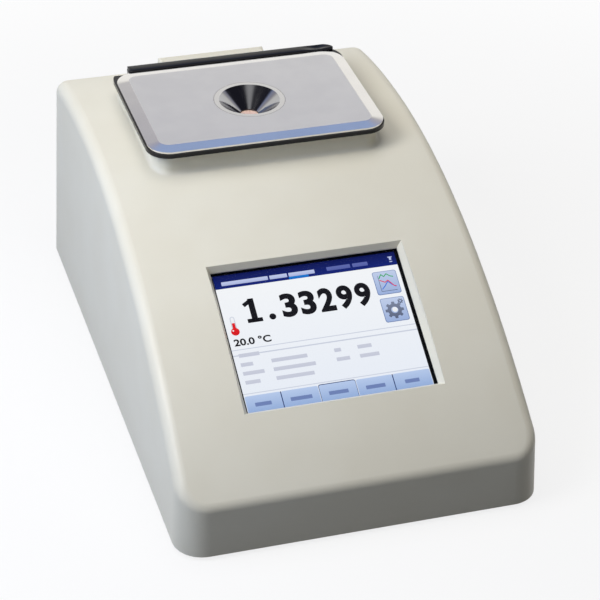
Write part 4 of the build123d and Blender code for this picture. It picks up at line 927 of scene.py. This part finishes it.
@dataclass
class TouchScreen(Assembly):
    """Touch glass, display and what holds them, with the lit picture just above the display.

    Lengths are in millimetres, measured from the middle of the screen opening.
    """

    glass_height: float = 110.3
    glass_thickness: float = 1.8
    picture_width: float = 115.2
    picture_top: float = 46.9
    picture_foot: float = -47.4
    header_foot: float = 37.8
    tab_top: float = -35.2
    tab_pitch: float = 23.1
    layer: float = 0.05
    sheet: float = 0.03
    shown: dict[Tint, list[Skin]] = field(default_factory=dict)

    covers: ClassVar[dict[str, str]] = {
        "touch_glass": "touch_glass",
        "display_module": "display",
        "display_gasket": "foam",
        "display_bracket": "sheet_steel",
        "display_ribbon": "ribbon",
    }

    def easel(self) -> Easel:
        """Finds the picture's plane from the box of the tilted touch glass.

        A slab of length L and thickness t, tilted by an angle, has the box L cos + t sin deep and L sin + t cos high,
        which gives the angle; the plane passes through the glass's underside.
        """
        low, high = (np.array(corner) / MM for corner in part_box("touch_glass"))
        _, deep, tall = high - low
        length, thick = self.glass_height, self.glass_thickness
        slope = math.atan2(length * tall - thick * deep, length * deep - thick * tall)
        out = np.array([0.0, -math.sin(slope), math.cos(slope)])
        return Easel(((low + high) / 2 - out * thick / 2) * MM, slope)

    def levels(self, layer: int) -> Pair:
        """Underside and upper side of a layer of the picture."""
        low = (layer + 1) * self.layer
        return low, low + self.sheet

    def patch(self, tint: Tint, layer: int, box: tuple[float, float, float, float], radius: float = 0.0) -> None:
        """Adds a coloured patch.

        Args:
            tint: Its colour.
            layer: Its layer, from 0 at the page.
            box: Its left, right, foot and top.
            radius: Radius of its corners.
        """
        left, right, foot, top = box
        outline = rounded_outline(right - left, top - foot, max(radius, 0.01))
        self.keep(tint, slab(outline, ((left + right) / 2, (foot + top) / 2), *self.levels(layer)))

    def keep(self, tint: Tint, skin: Skin) -> None:
        """Adds a surface to those of its tint."""
        self.shown.setdefault(tint, []).append(skin)

    def line(self, tint: Tint, layer: int, points: Sequence[Pair], width: float) -> None:
        """Adds a line through the given points.

        Args:
            tint: Its colour.
            layer: Its layer.
            points: Its corners.
            width: Its width.
        """
        corners = np.array(points, dtype=float)
        steps = np.linspace(0.0, len(corners) - 1.0, 12 * (len(corners) - 1) + 1)
        whole = np.arange(len(corners))
        path = np.column_stack([np.interp(steps, whole, corners[:, 0]), np.interp(steps, whole, corners[:, 1])])
        self.keep(tint, band(path, width, *self.levels(layer)))

    def draw_header(self) -> None:
        """Dark band along the top with pale captions, one of them marked, and a small sign at its end."""
        half = self.picture_width / 2
        self.patch(Tint.HEADER, 1, (-half, half, self.header_foot, self.picture_top))
        for left, right in ((-53.3, -24.3), (-23.2, -12.2), (-11.2, 5.2)):
            self.patch(Tint.HEADER_TEXT, 3, (left, right, 39.7, 42.3), 0.3)
        for left, right in ((13.0, 28.0), (29.5, 39.2)):
            self.patch(Tint.HEADER_DIM, 3, (left, right, 40.0, 42.6), 0.3)
        self.patch(Tint.MARK, 2, (-11.4, 1.0, self.header_foot, 39.6))
        self.patch(Tint.HEADER_TEXT, 3, (52.6, 55.4, 43.2, 43.9), 0.2)
        self.patch(Tint.HEADER_TEXT, 3, (53.3, 54.7, 41.4, 43.3), 0.3)
        self.patch(Tint.HEADER_TEXT, 3, (53.1, 54.9, 40.0, 40.6), 0.2)

    def draw_reading(self) -> None:
        """The measured index in large figures, the temperature below it and a thermometer."""
        foot, top = 12.5, 28.8
        self.patch(Tint.BLACK, 2, (-40.4, -36.7, foot, top))
        self.patch(Tint.BLACK, 2, (-43.3, -33.9, foot, foot + 2.7))
        self.line(Tint.BLACK, 2, ((-43.6, 24.6), (-38.3, 27.6)), 2.6)
        self.patch(Tint.BLACK, 2, (-29.7, -25.5, foot, foot + 4.2), 2.1)
        for figure, left, right in (("3", -21.0, -11.2), ("3", -9.2, 0.6), ("2", 2.8, 12.6), ("9", 14.4, 24.2), ("9", 26.0, 35.8)):
            self.keep(Tint.BLACK, Lettering(figure, left, right, foot, top, 0.04).skin(*self.levels(2)))
        warmth = Lettering("20.0 °C", -55.0, -32.2, -1.8, 3.2, 0.03)
        self.keep(Tint.BLACK, warmth.skin(*self.levels(2)))
        self.patch(Tint.TUBE, 1, (-53.9, -50.9, 8.0, 18.4), 1.5)
        self.patch(Tint.WHITE, 2, (-53.3, -51.5, 8.0, 17.7), 0.9)
        self.patch(Tint.RED, 3, (-53.3, -51.5, 7.0, 13.9), 0.3)
        self.patch(Tint.RED, 4, (-55.0, -49.8, 5.4, 10.6), 2.6)
        self.patch(Tint.WHITE, 5, (-54.0, -53.1, 8.2, 9.3), 0.4)

    def draw_buttons(self) -> None:
        """Two raised buttons at the right, one with a chart and one with gear wheels."""
        for foot, top in ((18.3, 34.5), (-0.8, 15.8)):
            self.patch(Tint.BUTTON_EDGE, 1, (39.9, 55.2, foot, top), 1.4)
            self.patch(Tint.BUTTON, 2, (40.3, 54.8, foot + 0.4, top - 0.4), 1.1)
        self.line(Tint.STEEL, 3, ((43.0, 31.8), (43.0, 20.6), (53.0, 20.6)), 0.35)
        self.line(Tint.GREEN, 4, ((43.4, 29.6), (45.2, 32.3), (46.7, 30.6), (48.6, 32.4), (50.6, 30.6), (52.6, 29.9)), 0.6)
        self.line(Tint.CRIMSON, 5, ((43.4, 28.4), (46.6, 26.6), (48.6, 27.8), (51.6, 23.6), (53.0, 23.2)), 0.6)
        self.line(Tint.BLUE, 4, ((43.6, 22.0), (46.0, 24.2), (48.3, 27.0), (50.4, 24.6), (52.8, 22.8)), 0.6)
        self.keep(Tint.STEEL, slab(gear_outline(4.4, 1.4, 8), (47.4, 7.0), *self.levels(3)))
        self.keep(Tint.BUTTON, slab(rounded_outline(4.4, 4.4, 2.2), (47.4, 7.0), *self.levels(4)))
        self.keep(Tint.WHITE, slab(rounded_outline(3.4, 3.4, 1.7), (47.6, 7.2), *self.levels(5)))
        self.keep(Tint.STEEL, slab(gear_outline(1.3, 0.5, 7), (52.4, 12.6), *self.levels(3)))
        self.keep(Tint.BUTTON, slab(rounded_outline(1.2, 1.2, 0.6), (52.4, 12.6), *self.levels(4)))

    def draw_table(self) -> None:
        """Rules and the grey captions between them."""
        half = self.picture_width / 2
        for foot, top in ((-4.5, -4.0), (-8.4, -7.6), (-33.9, -33.4)):
            self.patch(Tint.RULE, 1, (-half, half, foot, top))
        self.patch(Tint.CAPTION, 2, (-54.2, -41.6, -9.5, -7.0))
        rows = (
            (-14.4, ((-54.4, -46.9), (-35.6, -13.4))),
            (-20.3, ((-54.4, -41.3), (-35.6, -9.6))),
            (-26.3, ((-54.4, -45.2), (-35.4, -11.9))),
            (-13.9, ((3.5, 7.7), (18.1, 26.9))),
            (-20.1, ((3.5, 11.8), (18.1, 30.2))),
        )
        for middle, spans in rows:
            for left, right in spans:
                self.patch(Tint.CAPTION, 1, (left, right, middle - 1.25, middle + 1.25), 0.2)

    def draw_tabs(self) -> None:
        """Five tabs along the foot, the middle one with a dark outline."""
        half = self.picture_width / 2
        first = -12.2 - 2 * self.tab_pitch
        lefts = [max(first + i * self.tab_pitch, -half) for i in range(5)]
        rights = [*[first + (i + 1) * self.tab_pitch for i in range(4)], half]
        self.patch(Tint.TAB_EDGE, 1, (lefts[2], rights[2], self.picture_foot, self.tab_top + 0.5), 1.4)
        for left, right in zip(lefts, rights):
            self.patch(Tint.TAB, 2, (left + 0.3, right - 0.3, self.picture_foot, self.tab_top), 1.1)
        for place in (lefts[1], lefts[4]):
            self.patch(Tint.TAB_EDGE, 1, (place - 0.3, place + 0.3, self.picture_foot, self.tab_top))
        for left, right in ((-52.1, -42.1), (-30.4, -17.2), (-6.8, 5.2), (16.2, 28.2), (40.6, 49.6)):
            self.patch(Tint.TAB_TEXT, 3, (left, right, -42.6, -40.1), 0.2)

    def build(self, book: FinishBook) -> list[bpy.types.Object]:
        """Draws the picture and makes one piece of each tint."""
        half = self.picture_width / 2
        self.patch(Tint.PAGE, 0, (-half, half, self.picture_foot, self.picture_top))
        self.draw_header()
        self.draw_reading()
        self.draw_buttons()
        self.draw_table()
        self.draw_tabs()
        easel = self.easel()
        pieces = []
        for tint, skins in self.shown.items():
            skin = easel.put(Skin.joined(skins))
            piece = skin.piece("picture_" + tint.name.lower(), tint.glow().material())
            pieces.append(piece)
        return pieces


@dataclass
class Electronics(Assembly):
    """Main board and power supply."""

    covers: ClassVar[dict[str, str]] = {
        "main_board": "board",
        "board_standoffs": "connector_metal",
        "board_components": "chips",
        "power_supply": "board",
        "supply_cage": "sheet_steel",
    }


@dataclass
class ConnectorPanel(Assembly):
    """Rear panel with its inlet, switch and data sockets, and the sprung contacts in the network socket."""

    contact_count: int = 8
    contact_pitch: float = 1.02
    contact_radius: float = 0.2
    network_x: float = 1.2

    covers: ClassVar[dict[str, str]] = {
        "rear_panel": "panel_metal",
        "power_inlet": "black_plastic",
        "inlet_pins": "contact",
        "switch_housing": "switch_black",
        "power_rocker": "switch_black",
        "network_port": "connector_metal",
        "usb_ports": "connector_metal",
        "serial_port": "connector_metal",
    }

    def build(self, book: FinishBook) -> list[bpy.types.Object]:
        """Bends the network socket's contacts from its rear wall down towards its mouth."""
        line = np.array([(163.4, 41.2), (168.0, 41.1), (171.4, 40.8), (172.3, 40.2), (171.0, 39.2), (165.0, 36.6)])
        steps = np.linspace(0.0, 1.0, 30)
        knots = np.linspace(0.0, 1.0, len(line))
        y, z = (np.interp(steps, knots, line[:, part]) for part in (0, 1))
        springs = []
        for i in range(self.contact_count):
            x = self.network_x + (i - (self.contact_count - 1) / 2) * self.contact_pitch
            path = np.column_stack([np.full(len(steps), x), y, z])
            springs.append(spring(path * MM, self.contact_radius * MM))
        piece = Skin.joined(springs).piece("network_contacts", book.made["contact"], smooth=True)
        return [piece]


@dataclass
class Cooling(Assembly):
    """Fan behind the heat sink."""

    covers: ClassVar[dict[str, str]] = {"fan_frame": "black_plastic", "fan_rotor": "black_plastic"}


@dataclass
class Fasteners(Assembly):
    """All the screws."""

    covers: ClassVar[dict[str, str]] = {
        "base_screws": "screw_steel",
        "plate_screws": "screw_steel",
        "block_screws": "screw_steel",
        "display_screws": "screw_steel",
        "board_screws": "screw_steel",
        "panel_screws": "screw_steel",
        "fan_screws": "screw_steel",
    }


# Studio


AIM: Triple = (0.0, 0.02, 0.07)
WARM_LIGHT: Triple = (1.0, 0.98, 0.96)
COOL_LIGHT: Triple = (0.46, 0.63, 1.0)
PALE_LIGHT: Triple = (0.95, 0.97, 1.0)


@dataclass(frozen=True)
class Softbox:
    """A square lamp: where it hangs, what it faces, its side, its power, its colour and whether metal mirrors it."""

    name: str
    place: Triple
    aim: Triple
    side: float
    power: float
    colour: Triple
    mirrored: bool = False

    def hang(self) -> bpy.types.Object:
        """Hangs the lamp in the studio."""
        lamp = bpy.data.lights.new(self.name, "AREA")
        lamp.shape = "SQUARE"
        lamp.size = self.side
        lamp.energy = self.power
        lamp.color = self.colour
        made = bpy.data.objects.new(self.name, lamp)
        made.location = self.place
        made.rotation_mode = "QUATERNION"
        made.rotation_quaternion = (Vector(self.aim) - Vector(self.place)).to_track_quat("-Z", "Y")
        made.visible_camera = False
        made.visible_glossy = self.mirrored
        bpy.context.scene.collection.objects.link(made)
        return made


@dataclass
class Studio:
    """Pale floor that is brighter far from the part, white surroundings, soft lamps and the camera."""

    floor_half: float = 4.0
    floor_tone: float = 0.15
    floor_shine: float = 0.82
    ambient: Triple = (0.02, 0.021, 0.024)
    lens: float = 138.11
    camera_place: Triple = (-0.359187, -1.167823, 0.858914)
    camera_pitch: float = 33.498
    camera_turn: float = 17.652
    camera_roll: float = 1.747
    lamps: tuple[Softbox, ...] = (
        Softbox("key_lamp", (-0.55, -0.15, 0.75), AIM, 0.35, 3.8, WARM_LIGHT, True),
        Softbox("top_lamp", (0.0, 0.1, 1.4), AIM, 1.1, 7.8, WARM_LIGHT),
        Softbox("near_left_lamp", (-0.6, 0.0, 0.35), AIM, 0.4, 1.15, COOL_LIGHT),
        Softbox("low_left_lamp", (-0.9, -0.5, 0.6), AIM, 0.5, 1.9, COOL_LIGHT),
        Softbox("fore_lamp", (0.0, -0.5, 1.2), AIM, 0.5, 0.6, WARM_LIGHT),
        Softbox("rear_lamp", (0.15, 1.25, 0.5), AIM, 0.7, 2.2, PALE_LIGHT),
        Softbox("right_lamp", (1.2, 0.2, 0.45), AIM, 0.8, 1.2, PALE_LIGHT),
    )

    def lay_floor(self) -> bpy.types.Object:
        """Lays the floor: a flat grid that takes shadows and looks white where no shadow falls."""
        reach = np.linspace(-self.floor_half, self.floor_half, 9)
        x, y = np.meshgrid(reach, reach)
        skin = Skin.grid(np.stack([x, y, np.zeros_like(x)], axis=-1))
        material = bpy.data.materials.new("floor")
        material.use_nodes = True
        sheet = NodeSheet(material.node_tree)
        tone = (self.floor_tone,) * 3
        diffuse = sheet.wire(sheet.add("ShaderNodeBsdfDiffuse", {}, {"Color": tone}))
        x, y, _ = sheet.axes(sheet.place())
        far = (x * x + y * y).maths("SQRT").step(0.25, 1.1)
        shine = self.floor_shine + far * (1.0 - self.floor_shine)
        values = {"Color": (1.0, 1.0, 1.0), "Strength": shine * self.seen(sheet)}
        glow = sheet.wire(sheet.add("ShaderNodeEmission", {}, values))
        sheet.close(sheet.add("ShaderNodeAddShader", {}, {0: diffuse, 1: glow}))
        floor = bpy.data.objects.new("floor", bpy.data.meshes.new("floor"))
        floor.data.from_pydata(skin.points.tolist(), [], skin.faces)
        floor.data.materials.append(material)
        bpy.context.scene.collection.objects.link(floor)
        return floor

    @staticmethod
    def seen(sheet: NodeSheet) -> Wire:
        """One for rays from the camera, from metal and through glass, and zero for those that light a surface."""
        path = sheet.add("ShaderNodeLightPath", {}, {})
        kinds = [sheet.wire(path, f"Is {kind} Ray") for kind in ("Camera", "Glossy", "Transmission")]
        return kinds[0].at_least(kinds[1]).at_least(kinds[2])

    def surround(self) -> None:
        """Sets the surroundings: dim for surfaces, white for the camera, and for metal white low down, blue higher up and dark overhead."""
        world = bpy.data.worlds.new("studio")
        bpy.context.scene.world = world
        world.use_nodes = True
        sheet = NodeSheet(world.node_tree)
        _, back, up = sheet.axes(sheet.wire(sheet.add("ShaderNodeTexCoord", {}, {}), "Generated"))
        stops = (
            (0.0, (1.0, 1.0, 1.0)),
            (0.43, (1.04, 1.03, 1.0)),
            (0.49, (0.74, 0.73, 0.71)),
            (0.525, (0.50, 0.49, 0.54)),
            (0.62, (0.42, 0.43, 0.56)),
            (0.70, (0.34, 0.45, 0.74)),
            (0.82, (0.33, 0.44, 0.72)),
            (0.95, (0.62, 0.62, 0.63)),
            (1.0, (0.62, 0.62, 0.62)),
        )
        ramp = sheet.wire(sheet.add("ShaderNodeValToRGB", {"stops": stops}, {"Fac": up}), "Color")
        flag = up.step(0.56, 0.64) * (1.0 - up.step(0.945, 0.965)) * (1.0 - back.step(0.38, 0.50))
        sky = sheet.mix(flag, ramp, (0.02, 0.02, 0.03))
        path = sheet.add("ShaderNodeLightPath", {}, {})
        shine = sheet.wire(path, "Is Glossy Ray").at_least(sheet.wire(path, "Is Transmission Ray"))
        dim = sheet.wire(sheet.add("ShaderNodeBackground", {}, {"Color": self.ambient, "Strength": 1.0}))
        seen = sheet.wire(sheet.add("ShaderNodeBackground", {}, {"Color": sky, "Strength": 1.0}))
        white = sheet.wire(sheet.add("ShaderNodeBackground", {}, {"Color": (1.0, 1.0, 1.0), "Strength": 1.0}))
        lit = sheet.wire(sheet.add("ShaderNodeMixShader", {}, {0: shine, 1: dim, 2: seen}))
        camera = sheet.wire(path, "Is Camera Ray")
        sheet.close(sheet.add("ShaderNodeMixShader", {}, {0: camera, 1: lit, 2: white}), "ShaderNodeOutputWorld")

    def set_camera(self) -> bpy.types.Object:
        """Sets the camera at the photograph's viewing angle.

        Forward is (sin turn cos pitch, cos turn cos pitch, -sin pitch); right is level; both side directions are then
        turned by the roll.
        """
        pitch, turn, roll = (math.radians(a) for a in (self.camera_pitch, self.camera_turn, self.camera_roll))
        forward = Vector((math.sin(turn) * math.cos(pitch), math.cos(turn) * math.cos(pitch), -math.sin(pitch)))
        level = Vector((math.cos(turn), -math.sin(turn), 0.0))
        upright = level.cross(forward)
        right = level * math.cos(roll) + upright * math.sin(roll)
        up = upright * math.cos(roll) - level * math.sin(roll)
        data = bpy.data.cameras.new("camera")
        data.lens = self.lens
        data.sensor_width = 36.0
        data.clip_start = 0.05
        data.clip_end = 20.0
        camera = bpy.data.objects.new("camera", data)
        bpy.context.scene.collection.objects.link(camera)
        camera.matrix_world = Matrix.Translation(self.camera_place) @ Matrix((right, up, -forward)).transposed().to_4x4()
        bpy.context.scene.camera = camera
        return camera

    def build(self) -> None:
        """Sets up the whole studio."""
        self.set_camera()
        self.lay_floor()
        self.surround()
        for lamp in self.lamps:
            lamp.hang()
        bpy.context.scene.view_settings.view_transform = "Standard"


def write_sizes() -> None:
    """Updates the view layer.
    """
    bpy.context.view_layer.update()


def main() -> None:
    """Builds the studio, dresses each sub-assembly in order and reports each piece."""
    logging.basicConfig(level=logging.INFO, format="%(name)s: %(message)s")
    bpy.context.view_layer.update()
    Studio().build()
    book = FinishBook(FINISHES)
    assemblies: tuple[Assembly, ...] = (
        Housing(),
        MeasuringHead(),
        Optics(),
        TouchScreen(),
        Electronics(),
        ConnectorPanel(),
        Cooling(),
        Fasteners(),
    )
    for assembly in assemblies:
        assembly.dress(book)
        for node, slot in assembly.covers.items():
            LOG.info("%s takes %s", node, slot)
        for piece in assembly.build(book):
            LOG.info("made %s with %d faces", piece.name, len(piece.data.polygons))
    write_sizes()


if __name__ == "__main__":
    main()
